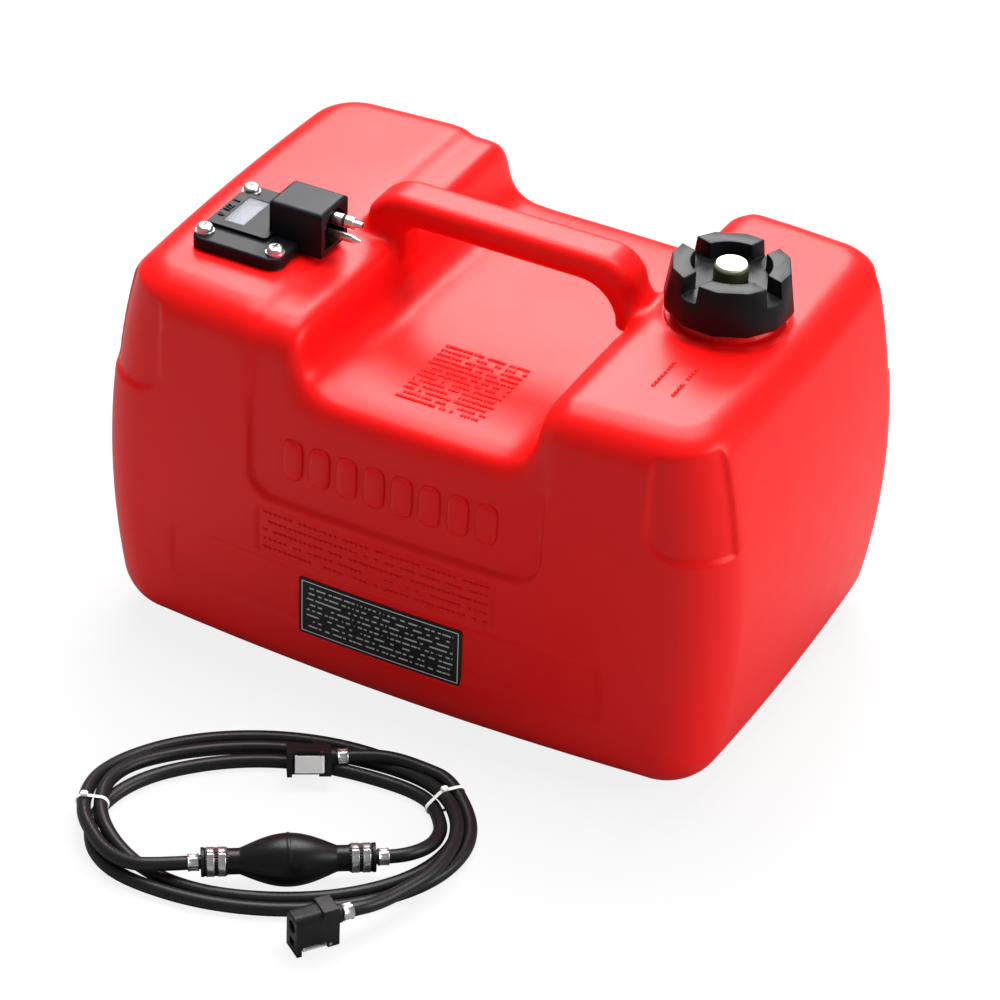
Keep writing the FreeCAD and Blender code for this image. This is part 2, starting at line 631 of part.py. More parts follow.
# ---------------------------------------------------------------- gauge and take-off unit
def gauge_housing():
    flange = plate(FLANGE_X0, FLANGE_X1, FLANGE_Y0, FLANGE_Y1, FLANGE_Z0, FLANGE_Z1, FLANGE_CORNER_R)
    flange = flange.makeFillet(FLANGE_EDGE_R, edges(flange, lambda b: b.ZMin > FLANGE_Z1 - 0.01))
    block = box(BLOCK_X0, BLOCK_X1, BLOCK_Y0, BLOCK_Y1, FLANGE_Z0, BLOCK_TOP_Z)
    block = block.makeFillet(BLOCK_EDGE_R, edges(block, lambda b: b.ZMin > BLOCK_TOP_Z - 0.01
                                                 or (b.ZLength > 1 and b.XMin < BLOCK_X0 + 1)))
    window = plate(WINDOW_X0, WINDOW_X1 + BLOCK_EDGE_R + 1, WINDOW_Y0, WINDOW_Y1, FLANGE_Z1 - 1, WINDOW_Z,
                   WINDOW_CORNER_R)
    solid = flange.fuse([block, window])
    solid = solid.fuse(upright(SKIRT_R, GAUGE_X, GAUGE_Y, CAVITY_TOP_Z, FLANGE_Z0 + 1))

    arch_z = BLOCK_TOP_Z - BLOCK_EDGE_R - HOOD_HALF
    hood = rod(HOOD_HALF, V(HOOD_BACK_X, BLOCK_Y, arch_z), V(BLOCK_X1 + 1, BLOCK_Y, arch_z))
    hood = hood.fuse(box(HOOD_BACK_X, BLOCK_X1 + 1, BLOCK_Y - HOOD_HALF, BLOCK_Y + HOOD_HALF,
                         HOOD_FLOOR_Z, arch_z))
    solid = solid.cut(hood)
    solid = solid.cut(upright(SKIRT_R - SKIRT_WALL, GAUGE_X, GAUGE_Y, CAVITY_TOP_Z - 1,
                              FLANGE_Z1 - WINDOW_CEILING))
    solid = solid.cut(box(LENS_X0, LENS_X1, LENS_Y0, LENS_Y1, WINDOW_Z - LENS_THICK, WINDOW_Z + 1))
    solid = solid.cut(box(LENS_X0 + LENS_RIM, LENS_X1 - LENS_RIM, LENS_Y0 + LENS_RIM, LENS_Y1 - LENS_RIM,
                          FLANGE_Z1 - 2, WINDOW_Z))
    for x, y in screw_places():
        solid = solid.cut(upright(SCREW_R + GAP / 2, x, y, FLANGE_Z0 - 1, FLANGE_Z1 + 0.01))
    solid = solid.cut(upright(PICKUP_R, PICKUP_X, BLOCK_Y, FLANGE_Z0 - 1,
                              FLANGE_Z0 + PICKUP_SOCKET))
    solid = solid.cut(upright(FUEL_BORE_R, PICKUP_X, BLOCK_Y, FLANGE_Z0, FUEL_PIN_Z))
    solid = solid.cut(rod(FUEL_BORE_R, V(PICKUP_X, BLOCK_Y, FUEL_PIN_Z), V(BLOCK_X1, BLOCK_Y, FUEL_PIN_Z)))
    for r, z in ((FUEL_PIN_R, FUEL_PIN_Z), (GUIDE_PIN_R, GUIDE_PIN_Z)):
        root = V(HOOD_BACK_X - PIN_ROOT, BLOCK_Y, z)
        solid = solid.cut(rod(r - PIN_ROOT_STEP, root, V(BLOCK_X1, BLOCK_Y, z)))
    return solid


def housing_gasket():
    solid = plate(FLANGE_X0 + 1, FLANGE_X1 - 1, FLANGE_Y0 + 1, FLANGE_Y1 - 1, DECK_Z, FLANGE_Z0,
                  FLANGE_CORNER_R - 1)
    solid = solid.cut(upright(SKIRT_R, GAUGE_X, GAUGE_Y, DECK_Z - 1, FLANGE_Z0 + 1))
    solid = solid.cut(upright(PICKUP_R, PICKUP_X, BLOCK_Y, DECK_Z - 1, FLANGE_Z0 + 1))
    for x, y in screw_places():
        solid = solid.cut(upright(SCREW_R + GAP / 2, x, y, DECK_Z - 1, FLANGE_Z0 + 1))
    return solid


def pan_head_screw(x, y):
    under = FLANGE_Z1 + WASHER_THICK
    head = upright(SCREW_HEAD_R, x, y, under, under + SCREW_HEAD_HEIGHT)
    head = head.makeFillet(SCREW_HEAD_HEIGHT * 0.6, edges(head, lambda b: b.ZMin > under + 0.5))
    arm = SCREW_HEAD_R * 0.55
    width = SCREW_HEAD_R * 0.12
    top = under + SCREW_HEAD_HEIGHT
    for half_x, half_y in ((arm, width), (width, arm)):
        head = head.cut(box(x - half_x, x + half_x, y - half_y, y + half_y, top - SCREW_CROSS_DEPTH,
                            top + 1))
    return head.fuse(upright(SCREW_R, x, y, under - SCREW_GRIP, under))


def screw_insert(x, y):
    outer = upright(INSERT_R, x, y, DECK_Z - INSERT_LENGTH, DECK_Z)
    return outer.cut(upright(SCREW_R, x, y, DECK_Z - INSERT_LENGTH, DECK_Z))


def gauge_lens():
    return box(LENS_X0, LENS_X1, LENS_Y0, LENS_Y1, WINDOW_Z - LENS_THICK,
               WINDOW_Z - LENS_SUNK)


def gauge_cage():
    """Two guide rods between a top plate and a foot plate, with the strip's bearings."""
    top = upright(CAGE_R, GAUGE_X, GAUGE_Y, CAGE_TOP_Z - CAGE_PLATE, CAGE_TOP_Z)
    foot = upright(CAGE_R, GAUGE_X, GAUGE_Y, CAGE_FOOT_Z, CAGE_FOOT_Z + CAGE_PLATE)
    foot = foot.cut(upright(STRIP_PIVOT_R + FIT, GAUGE_X, GAUGE_Y, 0, STRIP_BASE_Z + 1))
    solid = top.cut(upright(STRIP_JOURNAL_R + FIT, GAUGE_X, GAUGE_Y, STRIP_TOP_Z - 1, CAGE_TOP_Z + 1))
    solid = solid.fuse(foot)
    for side in (-1, 1):
        y = GAUGE_Y + side * CAGE_ROD_OFFSET
        solid = solid.fuse(upright(CAGE_ROD_R, GAUGE_X, y, CAGE_FOOT_Z, CAGE_TOP_Z))
    return solid


def twist_strip():
    """A flat strip twisted evenly over the float's travel, which turns as the float climbs it."""
    steps = round(STRIP_TWIST / STRIP_STEP)
    low, high = STRIP_BASE_Z + GAP, STRIP_TOP_Z
    sections = []
    for i in range(steps + 1):
        turn = math.radians(STRIP_TWIST * i / steps)
        z = low + (high - low) * i / steps
        corners = []
        for a, b in ((1, 1), (-1, 1), (-1, -1), (1, -1)):
            u, v = a * STRIP_WIDTH / 2, b * STRIP_THICK / 2
            corners.append(V(GAUGE_X + u * math.cos(turn) - v * math.sin(turn),
                             GAUGE_Y + u * math.sin(turn) + v * math.cos(turn), z))
        sections.append(Part.makePolygon(corners + [corners[0]]))
    solid = Part.makeLoft(sections, True, True)
    solid = solid.fuse(upright(STRIP_PIVOT_R, GAUGE_X, GAUGE_Y, CAGE_FOOT_Z, low))
    return solid.fuse(upright(STRIP_JOURNAL_R, GAUGE_X, GAUGE_Y, high, DIAL_Z))


def gauge_dial():
    return upright(DIAL_R, GAUGE_X, GAUGE_Y, DIAL_Z, DIAL_Z + DIAL_THICK)


def gauge_float():
    solid = upright(FLOAT_R, GAUGE_X, GAUGE_Y, FLOAT_BASE_Z, FLOAT_TOP_Z)
    solid = solid.makeFillet(FLOAT_EDGE_R, edges(solid, lambda b: b.ZLength < 0.01))
    solid = solid.cut(upright(STRIP_WIDTH / 2 + 2 * GAP, GAUGE_X, GAUGE_Y, 0, CAGE_TOP_Z))
    for side in (-1, 1):
        solid = solid.cut(upright(CAGE_ROD_R + GAP, GAUGE_X, GAUGE_Y + side * CAGE_ROD_OFFSET, 0, CAGE_TOP_Z))
    return solid


def float_guide():
    """The slotted plate on the float that grips the strip."""
    solid = upright(FLOAT_GUIDE_R, GAUGE_X, GAUGE_Y, FLOAT_TOP_Z, FLOAT_TOP_Z + FLOAT_GUIDE_THICK)
    half_x = STRIP_WIDTH / 2 + GAP
    half_y = STRIP_THICK / 2 + GAP
    slot = box(-half_x, half_x, -half_y, half_y, 0, CAGE_TOP_Z)
    middle = FLOAT_TOP_Z + FLOAT_GUIDE_THICK / 2
    low, high = STRIP_BASE_Z + GAP, STRIP_TOP_Z
    slot.rotate(V(0, 0, 0), V(0, 0, 1), STRIP_TWIST * (middle - low) / (high - low))
    slot.translate(V(GAUGE_X, GAUGE_Y, 0))
    return solid.cut(slot)


def pickup_tube():
    return upright_ring(PICKUP_R, PICKUP_BORE_R, PICKUP_X, BLOCK_Y, PICKUP_FOOT_Z,
                        FLANGE_Z0 + PICKUP_SOCKET)


def strainer():
    z0 = PICKUP_FOOT_Z - WALL
    z1 = z0 + STRAINER_LENGTH
    cup = upright(STRAINER_R, PICKUP_X, BLOCK_Y, z0, z1)
    cup = cup.cut(upright(STRAINER_R - STRAINER_WALL, PICKUP_X, BLOCK_Y, z0 + STRAINER_WALL,
                          z1 - STRAINER_WALL))
    cup = cup.cut(upright(PICKUP_R, PICKUP_X, BLOCK_Y, z0 + STRAINER_WALL, z1 + 1))
    half = STRAINER_SLOT_WIDTH / 2
    for i in range(STRAINER_SLOTS):
        turn = 360.0 * i / STRAINER_SLOTS
        slot = box(STRAINER_R - 2 * STRAINER_WALL, STRAINER_R + 1, -half, half,
                   z0 + STRAINER_SLOT_MARGIN, z1 - STRAINER_SLOT_MARGIN)
        slot.rotate(V(0, 0, 0), V(0, 0, 1), turn)
        slot.translate(V(PICKUP_X, BLOCK_Y, 0))
        cup = cup.cut(slot)
    return cup


def fuel_pin():
    root = HOOD_BACK_X - PIN_ROOT
    shoulder = FUEL_PIN_END_X - FUEL_PIN_TIP

    def axis(x):
        return V(x, BLOCK_Y, FUEL_PIN_Z)

    solid = rod(FUEL_PIN_R, axis(HOOD_BACK_X), axis(shoulder))
    solid = solid.makeChamfer(PIN_CHAMFER, edges(solid, lambda b: b.XMin > shoulder - 0.01))
    solid = solid.fuse(rod(FUEL_PIN_R - PIN_ROOT_STEP, axis(root), axis(HOOD_BACK_X)))
    solid = solid.fuse(rod(FUEL_PIN_TIP_R, axis(shoulder), axis(FUEL_PIN_END_X)))
    groove = ring(FUEL_PIN_R + 1, FUEL_PIN_R - PIN_SEAL_R, axis(PIN_SEAL_X - PIN_SEAL_R),
                  axis(PIN_SEAL_X + PIN_SEAL_R))
    solid = solid.cut(groove)
    return solid.cut(rod(FUEL_BORE_R, axis(root - 1), axis(FUEL_PIN_END_X + 1)))


def pin_seal():
    minor = PIN_SEAL_R * 0.8
    seal = Part.makeTorus(FUEL_PIN_R - minor, minor, V(PIN_SEAL_X, BLOCK_Y, FUEL_PIN_Z), V(1, 0, 0))
    return seal.cut(rod(FUEL_PIN_R - PIN_SEAL_R, V(PIN_SEAL_X - 2, BLOCK_Y, FUEL_PIN_Z),
                        V(PIN_SEAL_X + 2, BLOCK_Y, FUEL_PIN_Z)))


def guide_pin():
    root = HOOD_BACK_X - PIN_ROOT
    shoulder = GUIDE_PIN_END_X - GUIDE_PIN_POINT
    solid = rod(GUIDE_PIN_R, V(HOOD_BACK_X, BLOCK_Y, GUIDE_PIN_Z), V(shoulder, BLOCK_Y, GUIDE_PIN_Z))
    solid = solid.fuse(rod(GUIDE_PIN_R - PIN_ROOT_STEP, V(root, BLOCK_Y, GUIDE_PIN_Z),
                           V(HOOD_BACK_X, BLOCK_Y, GUIDE_PIN_Z)))
    point = Part.makeCone(GUIDE_PIN_R, GUIDE_PIN_R * 0.2, GUIDE_PIN_POINT,
                          V(shoulder, BLOCK_Y, GUIDE_PIN_Z), V(1, 0, 0))
    return solid.fuse(point)


# ---------------------------------------------------------------- fuel line
def coil_point(u, v, z=0.0):
    """A point given along the coil's long axis, across it, and above the floor."""
    a = math.radians(RING_YAW)
    return V(RING_X + u * math.cos(a) - v * math.sin(a), RING_Y + u * math.sin(a) + v * math.cos(a), z)


def placed(shape, base, yaw, roll=0.0):
    """Turn a piece about its own X axis by roll, then to its heading, and put it at base."""
    turn = Rotation(V(0, 0, 1), yaw).multiply(Rotation(V(1, 0, 0), roll))
    result = shape.copy()
    result.transformShape(Placement(base, turn).toMatrix(), False)
    return result


def oval(a, b, z):
    ellipse = Part.Ellipse(V(0, 0, z), a, b)
    return Part.Wire([ellipse.toShape()])


def coil_ring():
    outer = Part.Face(oval(RING_A, RING_B, 0)).extrude(V(0, 0, COIL_HEIGHT))
    inner = Part.Face(oval(RING_A - COIL_WIDTH_A, RING_B - COIL_WIDTH_B, -1))
    solid = outer.cut(inner.extrude(V(0, 0, COIL_HEIGHT + 2)))
    solid = solid.makeFillet(HOSE_R, edges(solid, lambda b: b.ZMin > COIL_HEIGHT - 0.01))
    return placed(solid, V(RING_X, RING_Y, 0), RING_YAW)


def coil_tie(angle):
    """A band round all the coil's strands, across the coil at the given place on its oval."""
    t = math.radians(angle)
    mean_a, mean_b = RING_A - COIL_WIDTH_A / 2, RING_B - COIL_WIDTH_B / 2
    u, v = mean_a * math.cos(t), mean_b * math.sin(t)
    across = math.degrees(math.atan2(v / mean_b**2, u / mean_a**2))
    share = abs(math.cos(t))
    half = (COIL_WIDTH_A * share + COIL_WIDTH_B * (1 - share)) / 2
    band = box(-half - TIE_THICK, half + TIE_THICK, -TIE_WIDTH / 2, TIE_WIDTH / 2, 0, COIL_HEIGHT + TIE_THICK)
    hole = box(-half, half, -TIE_WIDTH, TIE_WIDTH, TIE_THICK, COIL_HEIGHT)
    long_way = TIE_WIDTH / 2
    band = band.makeFillet(HOSE_R, edges(band, lambda b: b.YLength > long_way and b.ZMin > TIE_THICK))
    hole = hole.makeFillet(HOSE_R - TIE_THICK,
                           edges(hole, lambda b: b.YLength > long_way and b.ZMin > 2 * TIE_THICK))
    return placed(band.cut(hole), coil_point(u, v), RING_YAW + across)


def tube(points, r):
    """A hose stretch: straight runs joined by tangent arcs at each inner point."""
    runs = [(b - a).Length for a, b in zip(points, points[1:])]
    parts, start = [], points[0]
    for i in range(1, len(points) - 1):
        into = (points[i] - points[i - 1]).normalize()
        out = (points[i + 1] - points[i]).normalize()
        half = into.getAngle(out) / 2
        trim = 0.45 * min(runs[i - 1], runs[i])
        bend = trim / math.tan(half)
        print(f"    bend radius {bend:6.1f} = {bend / (2 * r):4.1f} diameters")
        a, b = points[i] - into * trim, points[i] + out * trim
        towards = (out - into).normalize()
        middle = points[i] + towards * (bend / math.cos(half) - bend)
        parts += [line(start, a), arc(a, middle, b)]
        start = b
    parts.append(line(start, points[-1]))
    path = Part.Wire(parts)
    circle = Part.Wire([Part.Circle(points[0], points[1] - points[0], r).toShape()])
    solid = path.makePipeShell([circle], True, False)
    share = solid.Volume / (math.pi * r * r * path.Length)
    print(f"    hose length {path.Length:6.1f}, volume share {share:5.3f}")
    return solid


def bulb_frame(x, y=0.0, z=0.0):
    """A point on the bulb's own axes: x along it from its middle, z above its axis."""
    a = math.radians(BULB_YAW)
    centre = coil_point(BULB_U, BULB_V, BULB_R)
    return centre + V(x * math.cos(a) - y * math.sin(a), x * math.sin(a) + y * math.cos(a), z)


def bulb_profile(r_mid, r_neck, half_length):
    """The bulb's round form: a swell over its body and a straight neck to half_length each way."""
    swell = r_neck + (r_mid - r_neck) * BULB_FULLNESS
    spline = Part.BSplineCurve()
    spline.interpolate([V(-HALF_BODY, 0, r_neck), V(-HALF_BODY * BULB_QUARTER, 0, swell), V(0, 0, r_mid),
                        V(HALF_BODY * BULB_QUARTER, 0, swell), V(HALF_BODY, 0, r_neck)])
    outline = Part.Wire([
        line(V(-half_length, 0, 0), V(-half_length, 0, r_neck)),
        line(V(-half_length, 0, r_neck), V(-HALF_BODY, 0, r_neck)),
        spline.toShape(),
        line(V(HALF_BODY, 0, r_neck), V(half_length, 0, r_neck)),
        line(V(half_length, 0, r_neck), V(half_length, 0, 0)),
        line(V(half_length, 0, 0), V(-half_length, 0, 0)),
    ])
    return Part.Face(outline).revolve(V(0, 0, 0), V(1, 0, 0), 360)


def on_bulb(shape):
    return placed(shape, bulb_frame(0), BULB_YAW)


def along(x, z=0.0):
    return V(x, 0, z)


def primer_bulb():
    solid = bulb_profile(BULB_R, BULB_NECK_R, CUFF_END)
    return on_bulb(solid.cut(bulb_profile(BULB_R - BULB_WALL, BULB_NECK_R - BULB_WALL, CUFF_END + 1)))


def bulb_fitting(side):
    """The hard end fitting: a stub in the bulb's cuff, a collar, a valve seat and a hose barb."""
    def spot(x):
        return along(side * x)

    solid = rod(BULB_NECK_R - BULB_WALL, spot(STUB_START), spot(CUFF_END + COLLAR_WIDTH / 2))
    solid = solid.fuse(rod(COLLAR_R, spot(CUFF_END), spot(COLLAR_END)))
    solid = solid.fuse(rod(BARB_R, spot(COLLAR_END), spot(COLLAR_END + BARB_LENGTH)))
    chamber = rod(DISC_R + GAP, spot(STUB_START + DISC_SEAT), spot(CUFF_END - COLLAR_WIDTH / 2))
    window = rod(DISC_WINDOW_R, spot(STUB_START - 1), spot(STUB_START + DISC_SEAT))
    bore = rod(BARB_BORE_R, spot(CUFF_END - COLLAR_WIDTH), spot(COLLAR_END + BARB_LENGTH + 1))
    return on_bulb(solid.cut(chamber).cut(window).cut(bore))


def check_disc(side):
    """The valve disc. Both discs lift in the flow's direction, from the tank's end to the engine's."""
    seat = CUFF_END - COLLAR_WIDTH / 2 if side < 0 else STUB_START + DISC_SEAT
    start = side * seat + DISC_LIFT
    return on_bulb(rod(DISC_R, along(start), along(start + DISC_THICK)))


def bulb_bands():
    bands = []
    for side in (-1, 1):
        for start in (NECK_END + BAND_INSET, CUFF_END - BAND_INSET - BAND_WIDTH):
            bands.append(ring(BAND_R, BULB_NECK_R, along(side * start), along(side * (start + BAND_WIDTH))))
    return on_bulb(group(bands))


def on_axis(x):
    """A point on the connector's fuel bore, x behind its mouth."""
    return V(x, 0, CONNECTOR_BORE_Z)


def connector_body():
    """A quick connector, its mouth at X = 0 and facing -X, its lower edge at Z = 0."""
    front = box(0, SHOULDER_X + 1, -HALF_THICK, HALF_THICK, NOTCH_ROOF_Z, FRONT_TOP_Z)
    front = front.fuse(box(0, LIP_THICK, -HALF_THICK, HALF_THICK, 0, FRONT_TOP_Z)).removeSplitter()
    front = front.makeFillet(CONNECTOR_ROUND_R, edges(front, lambda b: b.XLength > SHOULDER_X
                                                      and b.ZMin > FRONT_TOP_Z - 0.01))
    rear = box(SHOULDER_X, CONNECTOR_LENGTH, -HALF_THICK, HALF_THICK, NOTCH_ROOF_Z, CONNECTOR_HEIGHT)
    rear = rear.makeFillet(CONNECTOR_EDGE_R, edges(rear, lambda b: b.ZMin > CONNECTOR_HEIGHT - 0.01))
    foot = box(FOOT_X, CONNECTOR_LENGTH, -HALF_THICK, HALF_THICK, FOOT_Z, NOTCH_ROOF_Z + 1)
    solid = front.fuse([rear, foot])
    solid = solid.cut(rod(FUEL_PIN_R + FIT, on_axis(-1), on_axis(CONNECTOR_BORE_DEPTH)))
    solid = solid.cut(rod(FUEL_PIN_R + SEAL_DEPTH, on_axis(SEAL_X), on_axis(SEAL_X + SEAL_THICK)))
    solid = solid.cut(rod(SEAT_HOLE_R, on_axis(0), on_axis(CHAMBER_X)))
    solid = solid.cut(rod(CHAMBER_R, on_axis(CHAMBER_X), on_axis(CHAMBER_END_X)))
    solid = solid.cut(rod(FITTING_R, on_axis(CHAMBER_END_X), on_axis(CONNECTOR_LENGTH + 1)))
    half_slot = GUIDE_SLOT / 2
    solid = solid.cut(box(-1, GUIDE_DEPTH, -half_slot, half_slot, GUIDE_Z - half_slot, GUIDE_Z + half_slot))
    reach = LATCH_EYE_R + GAP
    inner = HALF_THICK - CHEEK
    solid = solid.cut(box(FOOT_X - 1, LATCH_PIN_X + reach, -inner, inner, 0, LATCH_PIN_Z + reach))
    return solid.cut(cross_rod(LATCH_PIN_R, HALF_THICK + 1))


def cross_rod(r, half_length):
    """A rod across the connector on the latch's hinge line."""
    return rod(r, V(LATCH_PIN_X, -half_length, LATCH_PIN_Z), V(LATCH_PIN_X, half_length, LATCH_PIN_Z))


def connector_barb():
    """The hose fitting pressed into the connector's rear, which closes the valve chamber."""
    solid = rod(FITTING_R, on_axis(CHAMBER_END_X), on_axis(CONNECTOR_LENGTH + 1))
    solid = solid.fuse(rod(FITTING_FLANGE_R, on_axis(CONNECTOR_LENGTH), on_axis(FLANGE_END_X)))
    solid = solid.fuse(rod(BARB_R, on_axis(FLANGE_END_X), on_axis(FLANGE_END_X + BARB_LENGTH)))
    return solid.cut(rod(BARB_BORE_R, on_axis(0), on_axis(FLANGE_END_X + BARB_LENGTH + 1)))


def connector_latch():
    """A pressed steel lever in the notch, hinged at its rear, with an upturned catch at its front."""
    solid = box(LATCH_X, LATCH_PIN_X, -LATCH_HALF, LATCH_HALF, LATCH_Z, LATCH_Z + LATCH_THICK)
    solid = solid.fuse(box(LATCH_X, LATCH_X + LATCH_THICK, -LATCH_HALF, LATCH_HALF, LATCH_Z,
                           LATCH_Z + LATCH_THICK + LATCH_HOOK))
    solid = solid.fuse(cross_rod(LATCH_EYE_R, LATCH_HALF))
    return solid.cut(cross_rod(LATCH_PIN_R + FIT, HALF_THICK))


def connector_plunger():
    seat = CHAMBER_X + FIT
    head = rod(PLUNGER_HEAD_R, on_axis(seat), on_axis(seat + PLUNGER_HEAD))
    return head.fuse(rod(PLUNGER_NOSE_R, on_axis(CHAMBER_X - PLUNGER_NOSE), on_axis(seat + 1)))


def plunger_spring():
    start = CHAMBER_X + PLUNGER_HEAD + SPRING_WIRE_R + 2 * FIT
    end = CHAMBER_END_X - SPRING_WIRE_R - FIT
    helix = Part.makeHelix((end - start) / SPRING_TURNS, end - start, SPRING_R)
    wire = Part.Wire([Part.Circle(V(SPRING_R, 0, 0), V(0, 1, 0), SPRING_WIRE_R).toShape()])
    coil = Part.Wire(helix.Edges).makePipeShell([wire], True, True)
    coil.rotate(V(0, 0, 0), V(0, 1, 0), 90)
    coil.translate(on_axis(start))
    return coil


def connector_seal():
    return ring(FUEL_PIN_R + SEAL_DEPTH, FUEL_PIN_R + FIT, on_axis(SEAL_X), on_axis(SEAL_X + SEAL_THICK))


CONNECTOR_PIECES = {
    "connector": connector_body(),
    "connector_barb": connector_barb(),
    "latch": connector_latch(),
    "latch_pin": cross_rod(LATCH_PIN_R, HALF_THICK),
    "plunger": connector_plunger(),
    "plunger_spring": plunger_spring(),
    "bore_seal": connector_seal(),
}


def on_plug(shape, plug):
    """Put a connector piece at its connector's place."""
    u, v, z, yaw, roll = plug
    return placed(shape, coil_point(u, v, z), yaw, roll)


def plug_point(plug, x):
    """A point on the placed connector's fuel bore, x behind its mouth."""
    u, v, z, yaw, roll = plug
    turn = Rotation(V(0, 0, 1), yaw).multiply(Rotation(V(1, 0, 0), roll))
    return coil_point(u, v, z) + turn.multVec(on_axis(x))


def hose_end(start, route):
    return [start] + [coil_point(*point) for point in route]


def ferrule(points):
    """The crimped sleeve on the start of a hose end."""
    along_hose = (points[1] - points[0]).normalize()
    start = points[0] + along_hose * FERRULE_START
    return ring(FERRULE_R, HOSE_R, start, start + along_hose * FERRULE_WIDTH)


def hose_end_points():
    return {
        "tank_hose_end": hose_end(plug_point(TANK_PLUG, FLANGE_END_X), TANK_END_ROUTE),
        "inlet_hose_end": hose_end(bulb_frame(-COLLAR_END), INLET_ROUTE),
        "outlet_hose_end": hose_end(bulb_frame(COLLAR_END), OUTLET_ROUTE),
        "engine_hose_end": hose_end(plug_point(ENGINE_PLUG, FLANGE_END_X), ENGINE_END_ROUTE),
    }


def hose_pieces():
    """The coil, its ties, the hose ends and their ferrules, each made clear of the others."""
    ends = hose_end_points()
    ferrules = [ferrule(points) for points in ends.values()]
    ties = [coil_tie(angle) for angle in TIE_ANGLES]
    clear = CONNECTOR_CLEARANCE
    room = box(-clear, CONNECTOR_LENGTH + clear, -HALF_THICK - clear, HALF_THICK + clear, -clear,
               CONNECTOR_HEIGHT + clear)
    flange = rod(FITTING_FLANGE_R + clear, on_axis(CONNECTOR_LENGTH), on_axis(FLANGE_END_X))
    barb = rod(BARB_R + clear, on_axis(FLANGE_END_X), on_axis(FLANGE_END_X + BARB_LENGTH + clear))
    coil = coil_ring().cut(on_plug(group([room, flange, barb]), ENGINE_PLUG))
    collar = rod(COLLAR_R + clear, along(CUFF_END - clear), along(COLLAR_END + clear))
    outlet_barb = rod(BARB_R + clear, along(COLLAR_END), along(COLLAR_END + BARB_LENGTH + clear))
    coil = coil.cut(on_bulb(group([collar, outlet_barb])))
    pieces = {"hose_ties": group(ties), "hose_ferrules": group(ferrules)}
    for name, points in ends.items():
        solid = tube(points, HOSE_R)
        coil = coil.cut(solid)
        bore = tube(points, HOSE_BORE_R)
        pieces[name] = solid.cut(bore)
    for piece in ferrules + ties:
        coil = coil.cut(piece)
    pieces["hose_coil"] = coil
    return pieces


# ---------------------------------------------------------------- build
save("tank_shell", tank_shell())
save("label_plate", label_plate())
save("screw_inserts", group([screw_insert(x, y) for x, y in screw_places()]))

save("cap_shell", cap_shell())
save("cap_liner", cap_liner())
save("cap_gasket", cap_gasket())
for name, shape in zip(("vent_knob", "vent_disc", "vent_seal"), vent_parts()):
    save(name, shape)

save("gauge_housing", gauge_housing())
save("housing_gasket", housing_gasket())
save("housing_screws", group([pan_head_screw(x, y) for x, y in screw_places()]))
save("screw_washers", group([upright_ring(WASHER_R, SCREW_R + GAP / 2, x, y, FLANGE_Z1,
                                          FLANGE_Z1 + WASHER_THICK) for x, y in screw_places()]))
save("gauge_lens", gauge_lens())
save("gauge_cage", gauge_cage())
save("twist_strip", twist_strip())
save("gauge_dial", gauge_dial())
save("gauge_float", gauge_float())
save("float_guide", float_guide())
save("pickup_tube", pickup_tube())
save("pickup_strainer", strainer())
save("fuel_pin", fuel_pin())
save("pin_seal", pin_seal())
save("guide_pin", guide_pin())

for name, shape in hose_pieces().items():
    save(name, shape)
save("primer_bulb", primer_bulb())
save("bulb_inlet", bulb_fitting(-1))
save("bulb_outlet", bulb_fitting(1))
save("inlet_disc", check_disc(-1))
save("outlet_disc", check_disc(1))
save("bulb_bands", bulb_bands())
for owner, plug in (("tank", TANK_PLUG), ("engine", ENGINE_PLUG)):
    for name, shape in CONNECTOR_PIECES.items():
        save(owner + "_" + name, on_plug(shape, plug))
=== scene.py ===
"""Portable outboard fuel tank with its gauge unit, filler cap and coiled fuel line, dressed for rendering.

Metres, origin under the middle of the tank: +X from the gauge unit to the filler cap, +Y from the
labelled front to the back, +Z up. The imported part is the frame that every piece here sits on.
"""
import bpy
import bmesh
import math
import numpy as np
from mathutils import Matrix, Vector


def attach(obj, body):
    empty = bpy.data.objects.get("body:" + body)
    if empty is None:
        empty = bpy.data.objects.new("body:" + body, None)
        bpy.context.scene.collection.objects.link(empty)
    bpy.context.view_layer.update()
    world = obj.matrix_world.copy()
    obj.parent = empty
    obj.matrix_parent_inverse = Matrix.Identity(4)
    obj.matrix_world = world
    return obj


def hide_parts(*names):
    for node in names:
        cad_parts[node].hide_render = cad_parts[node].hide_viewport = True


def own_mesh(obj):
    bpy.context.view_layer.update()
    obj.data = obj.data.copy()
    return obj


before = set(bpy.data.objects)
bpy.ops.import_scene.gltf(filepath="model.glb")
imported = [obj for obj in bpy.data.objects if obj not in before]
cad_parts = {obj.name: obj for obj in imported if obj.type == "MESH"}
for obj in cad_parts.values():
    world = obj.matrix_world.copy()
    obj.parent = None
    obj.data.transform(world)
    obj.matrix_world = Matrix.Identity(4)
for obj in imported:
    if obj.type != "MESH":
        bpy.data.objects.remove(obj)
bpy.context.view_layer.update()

# ================================================================ stand, light and camera
# A pale seamless table in a soft studio: a panel of light behind and above, a larger one overhead, one
# at the right-hand end, and an even grey room. The front stays in its own soft shade.
scene = bpy.context.scene
scene.view_settings.view_transform = "Standard"


def stand(name, data):
    """An object of this data, in the scene."""
    thing = bpy.data.objects.new(name, data)
    scene.collection.objects.link(thing)
    return thing


def socket_in_use(sockets, name=None):
    """The socket in use, where a node has one for each kind of value, by name if one is given."""
    return next(s for s in sockets if s.enabled and name in (None, s.name))


def feed(tree, socket, value):
    """Link a socket to another node's output, or give it a plain value."""
    if isinstance(value, bpy.types.NodeSocket):
        tree.links.new(value, socket)
    else:
        socket.default_value = value


